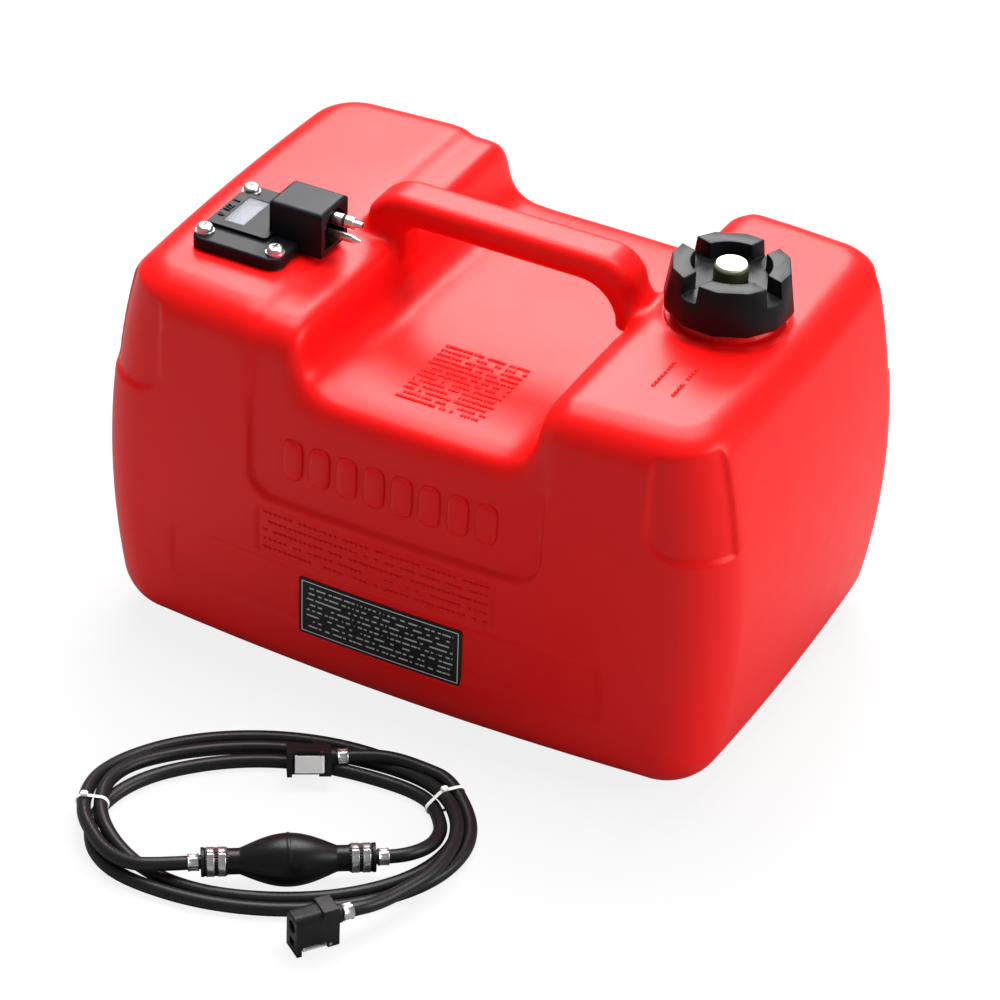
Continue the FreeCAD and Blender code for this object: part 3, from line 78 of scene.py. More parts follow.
def new_node(tree, kind, settings=(), **inputs):
    """A node with its settings, and its inputs fed by name."""
    made = tree.nodes.new(kind)
    for name, value in dict(settings).items():
        setattr(made, name, value)
    for name, value in inputs.items():
        feed(tree, socket_in_use(made.inputs, name.replace("_", " ")), value)
    return made


def arithmetic(tree, operation, *values):
    """One step of arithmetic on other nodes' outputs and plain numbers."""
    made = new_node(tree, "ShaderNodeMath", {"operation": operation})
    for socket, value in zip(made.inputs, values):
        feed(tree, socket, value)
    return made.outputs[0]


def dimmed_in_reflections(tree, value, reflected):
    """value, or reflected where a mirror ray looks."""
    rays = tree.nodes.new("ShaderNodeLightPath").outputs
    return arithmetic(tree, "MULTIPLY_ADD", rays["Is Glossy Ray"], reflected - value, value)


def mixed_by_view(tree, share, lit, seen, output):
    """Put out lit for lighting and reflections, with a share of seen where the camera or a clear part looks."""
    rays = tree.nodes.new("ShaderNodeLightPath").outputs
    looked_at = arithmetic(tree, "MAXIMUM", rays["Is Camera Ray"], rays["Is Transmission Ray"])
    mix = tree.nodes.new("ShaderNodeMixShader")
    for socket, value in zip(mix.inputs, (arithmetic(tree, "MULTIPLY", looked_at, share), lit, seen)):
        feed(tree, socket, value)
    tree.links.new(mix.outputs[0], tree.nodes.new(output).inputs[0])


room_strength, room_in_reflections = 0.40, 0.28
room = bpy.data.worlds.new("soft_room")
room.use_nodes = True
scene.world = room
air = room.node_tree
air.nodes.clear()
room_light = new_node(air, "ShaderNodeBackground", Color=(1, 1, 1, 1),
                      Strength=dimmed_in_reflections(air, room_strength, room_in_reflections))
room_white = new_node(air, "ShaderNodeBackground", Color=(1, 1, 1, 1), Strength=1.0)
mixed_by_view(air, 1.0, room_light.outputs[0], room_white.outputs[0], "ShaderNodeOutputWorld")

table_reach = 3
paper_white, paper_in_reflections, paper_glow_share = 0.55, 0.25, 0.85
table_mesh = bpy.data.meshes.new("table_top")
table_corners = [(x * table_reach, y * table_reach, 0) for x, y in ((-1, -1), (1, -1), (1, 1), (-1, 1))]
table_mesh.from_pydata(table_corners, [], [(0, 1, 2, 3)])
table_paper = bpy.data.materials.new("table_paper")
table_paper.use_nodes = True
paper = table_paper.node_tree
paper.nodes.clear()
paper_matte = new_node(paper, "ShaderNodeBsdfDiffuse",
                       Color=dimmed_in_reflections(paper, paper_white, paper_in_reflections))
paper_glow = new_node(paper, "ShaderNodeEmission", Strength=1.0)
mixed_by_view(paper, paper_glow_share, paper_matte.outputs[0], paper_glow.outputs[0],
              "ShaderNodeOutputMaterial")
table_mesh.materials.append(table_paper)
stand("table_top", table_mesh)


def light_panel(name, place, aim, width, height, watts):
    """A rectangle of light turned towards a point."""
    lamp = bpy.data.lights.new(name, "AREA")
    lamp.shape = "RECTANGLE"
    lamp.size = width
    lamp.size_y = height
    lamp.energy = watts
    panel = stand(name, lamp)
    panel.location = place
    panel.rotation_euler = (Vector(place) - Vector(aim)).to_track_quat("Z", "Y").to_euler()


light_panel("panel_above", (-0.55, 1.25, 1.25), (0, 0, 0.15), 0.9, 0.6, 32)
light_panel("panel_overhead", (-0.1, 0.35, 1.5), (0, 0, 0.15), 1.3, 0.9, 44)
light_panel("panel_right", (1.6, 0.3, 0.8), (0, 0, 0.12), 0.8, 0.7, 20)

camera_place = (0.7755595, -1.5829564, 1.2720728)
yaw, pitch, roll = math.radians(26.074038), math.radians(34.456237), math.radians(2.795217)
camera_data = bpy.data.cameras.new("camera")
camera_data.sensor_width = 36.0
camera_data.lens = 147.43
camera_data.clip_end = 20.0
back = Vector((math.sin(yaw) * math.cos(pitch), -math.cos(yaw) * math.cos(pitch), math.sin(pitch)))
level = Vector((math.cos(yaw), math.sin(yaw), 0))
upward = back.cross(level)
across = level * math.cos(roll) + upward * math.sin(roll)
upright_axis = upward * math.cos(roll) - level * math.sin(roll)
camera = stand("camera", camera_data)
turn = Matrix((across, upright_axis, back)).transposed().to_4x4()
camera.matrix_world = Matrix.Translation(camera_place) @ turn
scene.camera = camera


# ================================================================ moulded tank
# A rotationally moulded polyethylene shell in one piece with its handle and filler neck: satin red,
# wall about 4 mm, every edge drawn round by the mould, and a very fine orange-peel skin.
def new_tree(name, kind, inputs, outputs):
    """An empty node tree with its named sockets: the tree, what it is given and what it makes."""
    tree = bpy.data.node_groups.new(name, kind)
    for label, value_kind, value in inputs:
        socket = tree.interface.new_socket(label, in_out="INPUT", socket_type="NodeSocket" + value_kind)
        if value is not None:
            socket.default_value = value
    for label, value_kind in outputs:
        tree.interface.new_socket(label, in_out="OUTPUT", socket_type="NodeSocket" + value_kind)
    return tree, tree.nodes.new("NodeGroupInput").outputs, tree.nodes.new("NodeGroupOutput").inputs


def noise(tree, place, scale, detail):
    """Soft noise of about a half on average."""
    return new_node(tree, "ShaderNodeTexNoise", Vector=place, Scale=scale, Detail=detail).outputs["Fac"]


def object_place(tree):
    """Where on the object a point of its surface is."""
    return tree.nodes.new("ShaderNodeTexCoord").outputs["Object"]


def moulded_skin():
    """Shader group: colour drift, uneven gloss and fine orange peel of a moulded or cast surface."""
    cloud_scale, gloss_scale = 16.0, 55.0
    ripple_height, grain_height = 0.001, 0.0002
    group, given, made = new_tree(
        "moulded_skin", "ShaderNodeTree",
        (("Colour", "Color", (0.5, 0.5, 0.5, 1)), ("Drift", "Float", 0.05), ("Roughness", "Float", 0.4),
         ("Gloss Drift", "Float", 0.05), ("Grain Scale", "Float", 900.0), ("Grain Depth", "Float", 0.1),
         ("Ripple Scale", "Float", 40.0), ("Ripple Depth", "Float", 0.0)),
        (("Colour", "Color"), ("Roughness", "Float"), ("Normal", "Vector")))
    place = object_place(group)

    def swing(scale, detail, amount):
        """Noise that swings by the amount each way about 0."""
        centred = arithmetic(group, "SUBTRACT", noise(group, place, scale, detail), 0.5)
        return arithmetic(group, "MULTIPLY", centred, given[amount])

    bright = arithmetic(group, "ADD", swing(cloud_scale, 3.0, "Drift"), 1.0)
    tint = new_node(group, "ShaderNodeHueSaturation", Color=given["Colour"], Value=bright)
    gloss = arithmetic(group, "ADD", given["Roughness"], swing(gloss_scale, 4.0, "Gloss Drift"))
    ripple = new_node(group, "ShaderNodeBump", Distance=ripple_height, Strength=given["Ripple Depth"],
                      Height=noise(group, place, given["Ripple Scale"], 1.0))
    grain = new_node(group, "ShaderNodeBump", Distance=grain_height, Strength=given["Grain Depth"],
                     Height=noise(group, place, given["Grain Scale"], 2.0), Normal=ripple.outputs[0])
    for socket, value in zip(made, (tint.outputs[0], gloss, grain.outputs[0])):
        feed(group, socket, value)
    return group


skin_group = moulded_skin()


def finish(name, group, **values):
    """A material whose own shader is fed by a finish group, with the group's inputs set by name."""
    material = bpy.data.materials.new(name)
    material.use_nodes = True
    tree = material.node_tree
    effect = tree.nodes.new("ShaderNodeGroup")
    effect.node_tree = group
    for key, value in values.items():
        effect.inputs[key.replace("_", " ").title()].default_value = value
    for output in effect.outputs:
        wanted = "Base Color" if output.name == "Colour" else output.name
        tree.links.new(output, tree.nodes["Principled BSDF"].inputs[wanted])
    return material


def painted(material, **values):
    """Set plain values on the finish's own shader."""
    shader = material.node_tree.nodes["Principled BSDF"]
    for key, value in values.items():
        shader.inputs[key.replace("_", " ")].default_value = value
    return material


def printed(material, ink, colour):
    """Lay ink of one colour over a moulded finish, where ink is 1."""
    tree = material.node_tree
    shader = tree.nodes["Principled BSDF"]
    ground = shader.inputs["Base Color"].links[0].from_socket
    mix = new_node(tree, "ShaderNodeMix", {"data_type": "RGBA"}, A=ground, B=(*colour, 1))
    tree.links.new(ink, mix.inputs[0])
    tree.links.new(socket_in_use(mix.outputs), shader.inputs["Base Color"])
    return material


def moulded(name, colour, roughness, shine=0.22, **skin):
    """A plastic or rubber finish with the moulded skin in it."""
    material = finish(name, skin_group, colour=(*colour, 1), roughness=roughness, **skin)
    return painted(material, Specular_IOR_Level=shine)


def clad(part, material):
    """Give a carried-over part its finish."""
    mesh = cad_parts[part].data
    mesh.materials.clear()
    mesh.materials.append(material)


def add_piece(name, mesh, material, body="root", replaced=(), smooth_angle=None):
    """Stand a finished mesh at the origin as a piece of the object, riding on a body."""
    piece = stand(name, mesh)
    mesh.materials.clear()
    mesh.materials.append(material)
    mesh.shade_smooth()
    if smooth_angle:
        mesh.set_sharp_from_angle(angle=math.radians(smooth_angle))
    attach(piece, body)
    if replaced:
        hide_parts(*replaced)
    return piece


def written(shell, mesh):
    """Write a worked shell into the mesh."""
    shell.to_mesh(mesh)
    shell.free()
    return mesh


def merged_copy(part):
    """A copy of a part's mesh with its loose triangles joined."""
    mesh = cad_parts[part].data.copy()
    shell = bmesh.new()
    shell.from_mesh(mesh)
    bmesh.ops.remove_doubles(shell, verts=shell.verts, dist=1e-5)
    written(shell, mesh)
    for attribute in [a.name for a in mesh.attributes if a.name == "custom_normal"]:
        mesh.attributes.remove(mesh.attributes[attribute])
    return mesh


def evaluated(holder):
    """The plain mesh of an object as its curve and modifiers leave it. The object itself goes."""
    graph = bpy.context.evaluated_depsgraph_get()
    mesh = bpy.data.meshes.new_from_object(holder.evaluated_get(graph))
    bpy.data.objects.remove(holder)
    return mesh


def after_modifier(mesh, kind, **settings):
    """The mesh as one modifier leaves it."""
    holder = stand("holder", mesh)
    modifier = holder.modifiers.new("work", kind)
    for key, value in settings.items():
        setattr(modifier, key, value)
    return evaluated(holder)


def relaxed(points, edges, weight, rounds):
    """Pull each point towards the middle of its neighbours, by its weight, a number of times."""
    count = len(points)
    near = weight > 0
    used = near[edges[:, 0]] | near[edges[:, 1]]
    a, b = edges[used, 0], edges[used, 1]
    valence = np.maximum(np.bincount(a, minlength=count) + np.bincount(b, minlength=count), 1)
    for _ in range(rounds):
        for axis in range(3):
            column = points[:, axis]
            total = np.bincount(a, weights=column[b], minlength=count)
            total += np.bincount(b, weights=column[a], minlength=count)
            points[:, axis] = column + (total / valence - column) * 0.5 * weight
    return points


def band_mask(value, stretch):
    """1 along a stretch from low to high, falling smoothly to 0 within soft beyond each end."""
    low, high, soft = stretch
    rise = np.clip((value - low) / soft + 1, 0, 1)
    fall = np.clip((high - value) / soft + 1, 0, 1)
    ramp = np.minimum(rise, fall)
    return ramp * ramp * (3 - 2 * ramp)


# Stretches that the mould draws round more: where each begins and ends, and how softly it fades out.
lip_x, lip_y, lip_z = (-0.045, 0.060, 0.02), (0.085, 0.130, 0.02), (0.150, 0.200, 0.012)
rims_x = (-0.085, -0.045, 0.008), (0.062, 0.098, 0.008)
rim_y, rim_z = (0.026, 0.140, 0.008), (0.170, 0.213, 0.01)
roots_x = (-0.093, -0.072, 0.008), (0.070, 0.095, 0.008)
root_y, root_z = (0.0, 0.024, 0.01), (0.203, 0.216, 0.006)
lip_rounds, rim_rounds, root_rounds = 240, 45, 75
shell_grid, shell_triangles = 0.0012, 185000
cap_x, cap_y = 0.118, 0.005
neck_ring_in, neck_ring_out, neck_ring_foot, neck_ring_left = 0.0262, 0.0315, 0.2116, 0.15


def tank_mesh():
    """The shell with the mould's soft edges: wide ones at the saddle's lips and the handle's roots."""
    mesh = after_modifier(merged_copy("tank_shell"), "REMESH", mode="VOXEL", voxel_size=shell_grid,
                          adaptivity=0.0)
    points = np.zeros(len(mesh.vertices) * 3, np.float32)
    mesh.vertices.foreach_get("co", points)
    points = points.reshape(-1, 3).astype(np.float64)
    edges = np.zeros(len(mesh.edges) * 2, np.int32)
    mesh.edges.foreach_get("vertices", edges)
    edges = edges.reshape(-1, 2)
    x, y, z = points.T
    even = np.ones(len(points))
    points = relaxed(points, edges, even, 2)
    lips = band_mask(np.abs(y), lip_y) * band_mask(z, lip_z)
    lips *= band_mask(x, lip_x)
    rims = np.minimum(sum(band_mask(x, stretch) for stretch in rims_x), 1)
    rims = rims * band_mask(z, rim_z) * band_mask(np.abs(y), rim_y)
    points = relaxed(points, edges, lips, lip_rounds)
    points = relaxed(points, edges, rims, rim_rounds)
    roots = np.minimum(sum(band_mask(x, stretch) for stretch in roots_x), 1)
    roots = roots * band_mask(z, root_z) * band_mask(np.abs(y), root_y)
    points = relaxed(points, edges, roots, root_rounds)
    points = relaxed(points, edges, even, 1)
    away = np.hypot(points[:, 0] - cap_x, points[:, 1] - cap_y)
    ring = (away > neck_ring_in) & (away < neck_ring_out) & (points[:, 2] > neck_ring_foot)
    points[ring, 2] = neck_ring_foot + (points[ring, 2] - neck_ring_foot) * neck_ring_left
    mesh.vertices.foreach_set("co", points.astype(np.float32).ravel())
    mesh.update()
    kept = shell_triangles / (2 * len(mesh.polygons))
    return after_modifier(mesh, "DECIMATE", ratio=kept, use_collapse_triangulate=True)


tank_red = moulded("tank_red", (0.68, 0.003, 0.003), 0.38, shine=0.16, drift=0.05, gloss_drift=0.06,
                   grain_scale=700.0, grain_depth=0.12, ripple_scale=24.0, ripple_depth=0.25)
tank = add_piece("tank", tank_mesh(), tank_red, replaced=["tank_shell"])

# ================================================================ raised marks in the mould
# The mould leaves plain marks standing on the shell: eight wide bars on the front, and rows of fine
# dashes in the panel below, on the saddle's floor and beside the cap. They're the shell's own plastic.
def put_out(tree, geometry, given, made):
    """End a tree of pieces: give them their plastic and put them out."""
    coated = new_node(tree, "GeometryNodeSetMaterial", Geometry=geometry, Material=given["Plastic"])
    tree.links.new(coated.outputs[0], made[0])
    return tree


def marks_tree():
    """Rows and columns of rounded marks, laid on the shell along one direction."""
    ray_start, ray_reach = 0.03, 0.2
    tree, given, made = new_tree(
        "raised_marks", "GeometryNodeTree",
        (("Geometry", "Geometry", None), ("Shell", "Object", None), ("Columns", "Int", 8), ("Rows", "Int", 1),
         ("Field", "Vector", (0.1, 0.1, 0.0)), ("Mark", "Vector", (0.01, 0.02, 0.002)),
         ("Place", "Vector", (0, 0, 0)), ("Turn", "Vector", (0, 0, 0)), ("Press", "Vector", (0, 1, 0)),
         ("Rounding", "Int", 2), ("Shortest", "Float", 1.0), ("Left Out", "Float", 0.0), ("Seed", "Int", 1),
         ("Plastic", "Material", None)),
        (("Geometry", "Geometry"),))

    def vector_step(operation, first, second):
        step = tree.nodes.new("ShaderNodeVectorMath")
        step.operation = operation
        feed(tree, step.inputs[0], first)
        feed(tree, step.inputs[3 if operation == "SCALE" else 1], second)
        return step.outputs["Value" if operation == "DOT_PRODUCT" else "Vector"]

    field = new_node(tree, "ShaderNodeSeparateXYZ", Vector=given["Field"]).outputs
    grid = new_node(tree, "GeometryNodeMeshGrid", Size_X=field[0], Size_Y=field[1],
                    Vertices_X=given["Columns"], Vertices_Y=given["Rows"])
    mark = new_node(tree, "GeometryNodeMeshCube", Size=given["Mark"], Vertices_X=3, Vertices_Y=3)
    soft = new_node(tree, "GeometryNodeSubdivisionSurface", Mesh=mark.outputs[0], Level=given["Rounding"])
    length = new_node(tree, "FunctionNodeRandomValue", {"data_type": "FLOAT"}, Min=given["Shortest"], Max=1.0,
                      Seed=given["Seed"])
    stretch = new_node(tree, "ShaderNodeCombineXYZ", X=socket_in_use(length.outputs), Y=1.0, Z=1.0)
    kept = new_node(tree, "FunctionNodeRandomValue", {"data_type": "BOOLEAN"}, Seed=given["Seed"],
                    Probability=arithmetic(tree, "SUBTRACT", 1.0, given["Left Out"]))
    laid = new_node(tree, "GeometryNodeInstanceOnPoints", Points=grid.outputs["Mesh"],
                    Instance=soft.outputs[0], Scale=stretch.outputs[0], Selection=socket_in_use(kept.outputs))
    whole = new_node(tree, "GeometryNodeRealizeInstances", Geometry=laid.outputs[0])
    placed = new_node(tree, "GeometryNodeTransform", Geometry=whole.outputs[0], Translation=given["Place"],
                      Rotation=given["Turn"])

    where = tree.nodes.new("GeometryNodeInputPosition").outputs[0]
    height = vector_step("DOT_PRODUCT", vector_step("SUBTRACT", where, given["Place"]), given["Press"])
    start = vector_step("SUBTRACT", where, vector_step("SCALE", given["Press"], ray_start))
    shell = new_node(tree, "GeometryNodeObjectInfo", Object=given["Shell"]).outputs["Geometry"]
    drop = new_node(tree, "GeometryNodeRaycast", Target_Geometry=shell, Source_Position=start,
                    Ray_Direction=given["Press"], Ray_Length=ray_reach).outputs
    onto = vector_step("ADD", drop["Hit Position"], vector_step("SCALE", given["Press"], height))
    seat = new_node(tree, "GeometryNodeSetPosition", Geometry=placed.outputs[0], Selection=drop["Is Hit"],
                    Position=onto)
    return put_out(tree, seat.outputs[0], given, made)


def grown(name, tree, **inputs):
    """The mesh that a tree makes with these inputs."""
    holder = stand(name, bpy.data.meshes.new(name))
    modifier = holder.modifiers.new("grown", "NODES")
    modifier.node_group = tree
    identifiers = {i.name: i.identifier for i in tree.interface.items_tree if i.in_out == "INPUT"}
    for key, value in inputs.items():
        modifier[identifiers[key.replace("_", " ").title()]] = value
    return evaluated(holder)


marks = marks_tree()
front_press, down_press = (0.0, 1.0, 0.0), (0.0, 0.0, -1.0)
upright_turn, quarter_turn = (math.radians(90), 0.0, 0.0), (0.0, 0.0, math.radians(90))


def mould_marks(name, **inputs):
    mesh = grown(name, marks, shell=tank, plastic=tank_red, **inputs)
    return add_piece(name, mesh, tank_red)


mould_marks("front_bars", columns=8, rows=1, field=(0.1085, 0.0, 0.0), mark=(0.0125, 0.024, 0.0044),
            place=(-0.002, -0.1235, 0.1365), turn=upright_turn, press=front_press, rounding=2)
mould_marks("panel_dashes", columns=44, rows=5, field=(0.126, 0.021, 0.0), mark=(0.0026, 0.0012, 0.0009),
            place=(-0.008, -0.1235, 0.0905), turn=upright_turn, press=front_press, rounding=0,
            shortest=0.5, left_out=0.16, seed=4)
mould_marks("saddle_dashes", columns=24, rows=13, field=(0.046, 0.052, 0.0), mark=(0.0019, 0.0018, 0.0010),
            place=(0.010, -0.066, 0.176), turn=(0.0, 0.0, 0.0), press=down_press, rounding=0,
            shortest=0.5, left_out=0.2, seed=9)
mould_marks("shoulder_dashes", columns=9, rows=2, field=(0.026, 0.012, 0.0), mark=(0.0028, 0.0018, 0.0009),
            place=(0.120, -0.060, 0.211), turn=quarter_turn, press=down_press, rounding=0,
            shortest=0.5, left_out=0.15, seed=5)

# ================================================================ label
# A thin black film label in a shallow pocket at the bottom of the front. It's printed with a fine
# border and plain grey rules only.
label_x, label_z, label_half_width, label_half_height = -0.0035, 0.05275, 0.0465, 0.01725
border_width, border_height = (0.957, 0.966), (0.885, 0.91)
rule_step, rule_foot, rule_band, rule_reach = 0.0034, 0.0134, (0.34, 0.62), (0.90, 0.78)
break_scale, row_shift, break_share, rule_grey = 420.0, 7.3, 0.46, 0.62


def label_finish():
    """Black film with the border and broken rules printed in pale grey, worked out from the place alone."""
    material = moulded("label_print", (0.012, 0.012, 0.013), 0.32, grain_scale=500.0, grain_depth=0.05)
    tree = material.node_tree

    def step(operation, *values):
        return arithmetic(tree, operation, *values)

    def between(value, low, high):
        return step("MULTIPLY", step("GREATER_THAN", value, low), step("LESS_THAN", value, high))

    place = new_node(tree, "ShaderNodeSeparateXYZ", Vector=object_place(tree)).outputs
    x, z = step("SUBTRACT", place[0], label_x), step("SUBTRACT", place[2], label_z)
    wide = step("DIVIDE", step("ABSOLUTE", x), label_half_width)
    tall = step("DIVIDE", step("ABSOLUTE", z), label_half_height)
    sides = step("MULTIPLY", between(wide, *border_width), step("LESS_THAN", tall, border_height[1]))
    ends = step("MULTIPLY", between(tall, *border_height), step("LESS_THAN", wide, border_width[1]))
    rows = step("DIVIDE", step("ADD", z, rule_foot), rule_step)
    inside = step("MULTIPLY", step("LESS_THAN", wide, rule_reach[0]), step("LESS_THAN", tall, rule_reach[1]))
    rules = step("MULTIPLY", between(step("FRACT", rows), *rule_band), inside)
    along = new_node(tree, "ShaderNodeCombineXYZ", X=step("MULTIPLY", x, break_scale),
                     Y=step("MULTIPLY", step("FLOOR", rows), row_shift))
    breaks = new_node(tree, "ShaderNodeTexNoise", {"noise_dimensions": "2D"}, Vector=along.outputs[0],
                      Scale=1.0, Detail=0.0).outputs["Fac"]
    rules = step("MULTIPLY", rules, step("GREATER_THAN", breaks, break_share))
    ink = step("MAXIMUM", step("MAXIMUM", sides, ends), step("MULTIPLY", rules, rule_grey))
    return printed(material, ink, (0.62, 0.63, 0.65))


clad("label_plate", label_finish())

# ================================================================ gauge and take-off unit
# A black glass-filled housing with a gauge window and a hood over the two pins, moulded in one piece
# and held on a rubber gasket by four pan-head screws into brass inserts in the shell.
housing_black = moulded("housing_black", (0.004, 0.004, 0.006), 0.44, shine=0.15, drift=0.12,
                        gloss_drift=0.08, grain_scale=1500.0, grain_depth=0.35)
clad("gauge_housing", housing_black)
rubber_black = moulded("gasket_rubber", (0.012, 0.012, 0.012), 0.62, drift=0.1, grain_scale=1200.0,
                       grain_depth=0.3)
for seal in ("housing_gasket", "cap_gasket", "vent_seal", "pin_seal", "tank_bore_seal", "engine_bore_seal",
             "inlet_disc", "outlet_disc"):
    clad(seal, rubber_black)


def brushed_metal():
    """Shader group: fine lines of drawing or turning along one axis, in gloss and in relief."""
    group, given, made = new_tree(
        "brushed_metal", "ShaderNodeTree",
        (("Lines", "Vector", (60.0, 2500.0, 2500.0)), ("Roughness", "Float", 0.3),
         ("Gloss Drift", "Float", 0.15), ("Depth", "Float", 0.1)),
        (("Roughness", "Float"), ("Normal", "Vector")))
    stretched = group.nodes.new("ShaderNodeVectorMath")
    stretched.operation = "MULTIPLY"
    feed(group, stretched.inputs[0], object_place(group))
    feed(group, stretched.inputs[1], given["Lines"])
    lines = noise(group, stretched.outputs[0], 1.0, 3.0)
    relief = new_node(group, "ShaderNodeBump", Distance=0.0001, Strength=given["Depth"], Height=lines)
    gloss = arithmetic(group, "MULTIPLY_ADD", lines, given["Gloss Drift"], given["Roughness"])
    for socket, value in zip(made, (gloss, relief.outputs[0])):
        feed(group, socket, value)
    return group


metal_group = brushed_metal()


def metal(name, colour, roughness, **brush):
    """A bare metal finish with the brushing in it."""
    material = finish(name, metal_group, roughness=roughness, **brush)
    return painted(material, Base_Color=(*colour, 1), Metallic=1.0)


screw_steel = metal("screw_steel", (0.62, 0.61, 0.60), 0.22, lines=(900.0, 900.0, 900.0), gloss_drift=0.2)
clad("housing_screws", screw_steel)
clad("screw_washers", metal("washer_steel", (0.58, 0.58, 0.58), 0.28, lines=(700.0, 2200.0, 700.0)))
clad("screw_inserts", metal("insert_brass", (0.72, 0.5, 0.2), 0.35))

# ---- the gauge's window, with its plain marks
# A clear acrylic pane is set in the raised frame, over the printed dial. Beside it stand plain raised
# figures for empty, half and full.
lens_clear = bpy.data.materials.new("lens_clear")
lens_clear.use_nodes = True
painted(lens_clear, Base_Color=(0.45, 0.47, 0.52, 1), Roughness=0.25, Transmission_Weight=0.85, IOR=1.18,
        Specular_IOR_Level=0.2)
clad("gauge_lens", lens_clear)


def dial_finish():
    """A pale printed card with fine dark ticks all round it."""
    dial_centre, tick_count, tick_share = (-0.122, -0.0435, 0.0), 24.0, 0.12
    material = moulded("dial_print", (0.30, 0.31, 0.33), 0.5, grain_scale=1800.0, grain_depth=0.1)
    tree = material.node_tree
    centred = tree.nodes.new("ShaderNodeVectorMath")
    centred.operation = "SUBTRACT"
    feed(tree, centred.inputs[0], object_place(tree))
    feed(tree, centred.inputs[1], dial_centre)
    rays = new_node(tree, "ShaderNodeTexGradient", {"gradient_type": "RADIAL"}, Vector=centred.outputs[0])
    ticks = arithmetic(tree, "MULTIPLY", rays.outputs["Fac"], tick_count)
    ink = arithmetic(tree, "LESS_THAN", arithmetic(tree, "FRACT", ticks), tick_share)
    return printed(material, ink, (0.03, 0.03, 0.03))


clad("gauge_dial", dial_finish())


def joined(name, meshes):
    """One mesh of several."""
    together = bmesh.new()
    for mesh in meshes:
        together.from_mesh(mesh)
    return written(together, bpy.data.meshes.new(name))


def raised_figure(text, y):
    """One figure in relief on the window's frame, read from the front."""
    figure_x, figure_z = -0.1366, 0.2200
    letters = bpy.data.curves.new("figure", "FONT")
    letters.body = text
    letters.size = 0.0052
    letters.extrude = 0.0004
    letters.bevel_depth = 0.00008
    letters.align_x = "CENTER"
    letters.align_y = "CENTER"
    mesh = evaluated(stand("figure", letters))
    mesh.transform(Matrix.Translation((figure_x, y, figure_z)) @ Matrix.Rotation(math.radians(90), 4, "Z"))
    return mesh


figures = [raised_figure(text, y) for text, y in (("0", -0.0530), ("1/2", -0.0455), ("1", -0.0375))]
add_piece("gauge_figures", joined("gauge_figures", figures), housing_black,
          smooth_angle=30)

# ---- the works inside the tank
# The float climbs two rods and turns the twisted brass strip, which carries the dial. The pick-up tube
# with its strainer hangs beside it. All of it is hidden while the tank is shut.
natural_plastic = moulded("natural_plastic", (0.68, 0.67, 0.62), 0.45, drift=0.06, grain_scale=1000.0,
                          grain_depth=0.1)
for inner in ("gauge_cage", "float_guide", "pickup_tube", "pickup_strainer"):
    clad(inner, natural_plastic)
float_foam = moulded("float_foam", (0.07, 0.07, 0.07), 0.8, drift=0.2, grain_scale=900.0, grain_depth=0.8)
clad("gauge_float", float_foam)
clad("twist_strip", metal("strip_brass", (0.74, 0.55, 0.26), 0.25, lines=(900.0, 900.0, 60.0)))

# ---- the two pins
# Turned aluminium pins pressed into the hood's back wall: the fuel pin above, bored through, and the
# solid pointed guide pin below it.
pin_metal = metal("pin_metal", (0.74, 0.73, 0.70), 0.20, lines=(2600.0, 40.0, 40.0), gloss_drift=0.16)
clad("fuel_pin", pin_metal)
clad("guide_pin", pin_metal)

# ================================================================ filler cap and vent
# A twelve-sided black cap with four grip lobes round a sunk bowl, moulded in one piece over an inner
# threaded ring. The vent screw in its middle has an ivory face.
cap_black = moulded("cap_black", (0.004, 0.004, 0.005), 0.40, shine=0.16, drift=0.15, gloss_drift=0.1,
                    grain_scale=1300.0, grain_depth=0.3)
cap_widest, skirt_top, skirt_inside, skirt_drawn_in = 0.2208, 0.2182, 0.0305, 0.0016


def eased(mesh, width, segments=2, angle=38):
    """The mesh with its sharp edges broken as a mould leaves them."""
    shell = bmesh.new()
    shell.from_mesh(mesh)
    bmesh.ops.dissolve_limit(shell, angle_limit=math.radians(0.8), verts=shell.verts, edges=shell.edges)
    written(shell, mesh)
    return after_modifier(mesh, "BEVEL", width=width, segments=segments, limit_method="ANGLE",
                          angle_limit=math.radians(angle), use_clamp_overlap=True)


def cap_mesh():
    """The cap with its skirt drawn in below its widest line."""
    mesh = merged_copy("cap_shell")
    shell = bmesh.new()
    shell.from_mesh(mesh)
    everything = shell.verts[:] + shell.edges[:] + shell.faces[:]
    bmesh.ops.bisect_plane(shell, geom=everything, plane_co=(0, 0, cap_widest), plane_no=(0, 0, 1))
    for vert in shell.verts:
        off = Vector((vert.co.x - cap_x, vert.co.y - cap_y))
        if vert.co.z < skirt_top and off.length > skirt_inside:
            off *= 1 - skirt_drawn_in / off.length
            vert.co.x, vert.co.y = cap_x + off.x, cap_y + off.y
    return eased(written(shell, mesh), 0.0009, 3)


add_piece("cap", cap_mesh(), cap_black, "cap", ["cap_shell"], 35)
clad("cap_liner", cap_black)
vent_olive = moulded("vent_olive", (0.035, 0.037, 0.016), 0.42, drift=0.1, grain_scale=1300.0, grain_depth=0.2)
vent_ivory = moulded("vent_ivory", (0.86, 0.86, 0.68), 0.38, drift=0.03, grain_scale=900.0, grain_depth=0.1)
clad("vent_knob", vent_olive)
clad("vent_disc", vent_ivory)


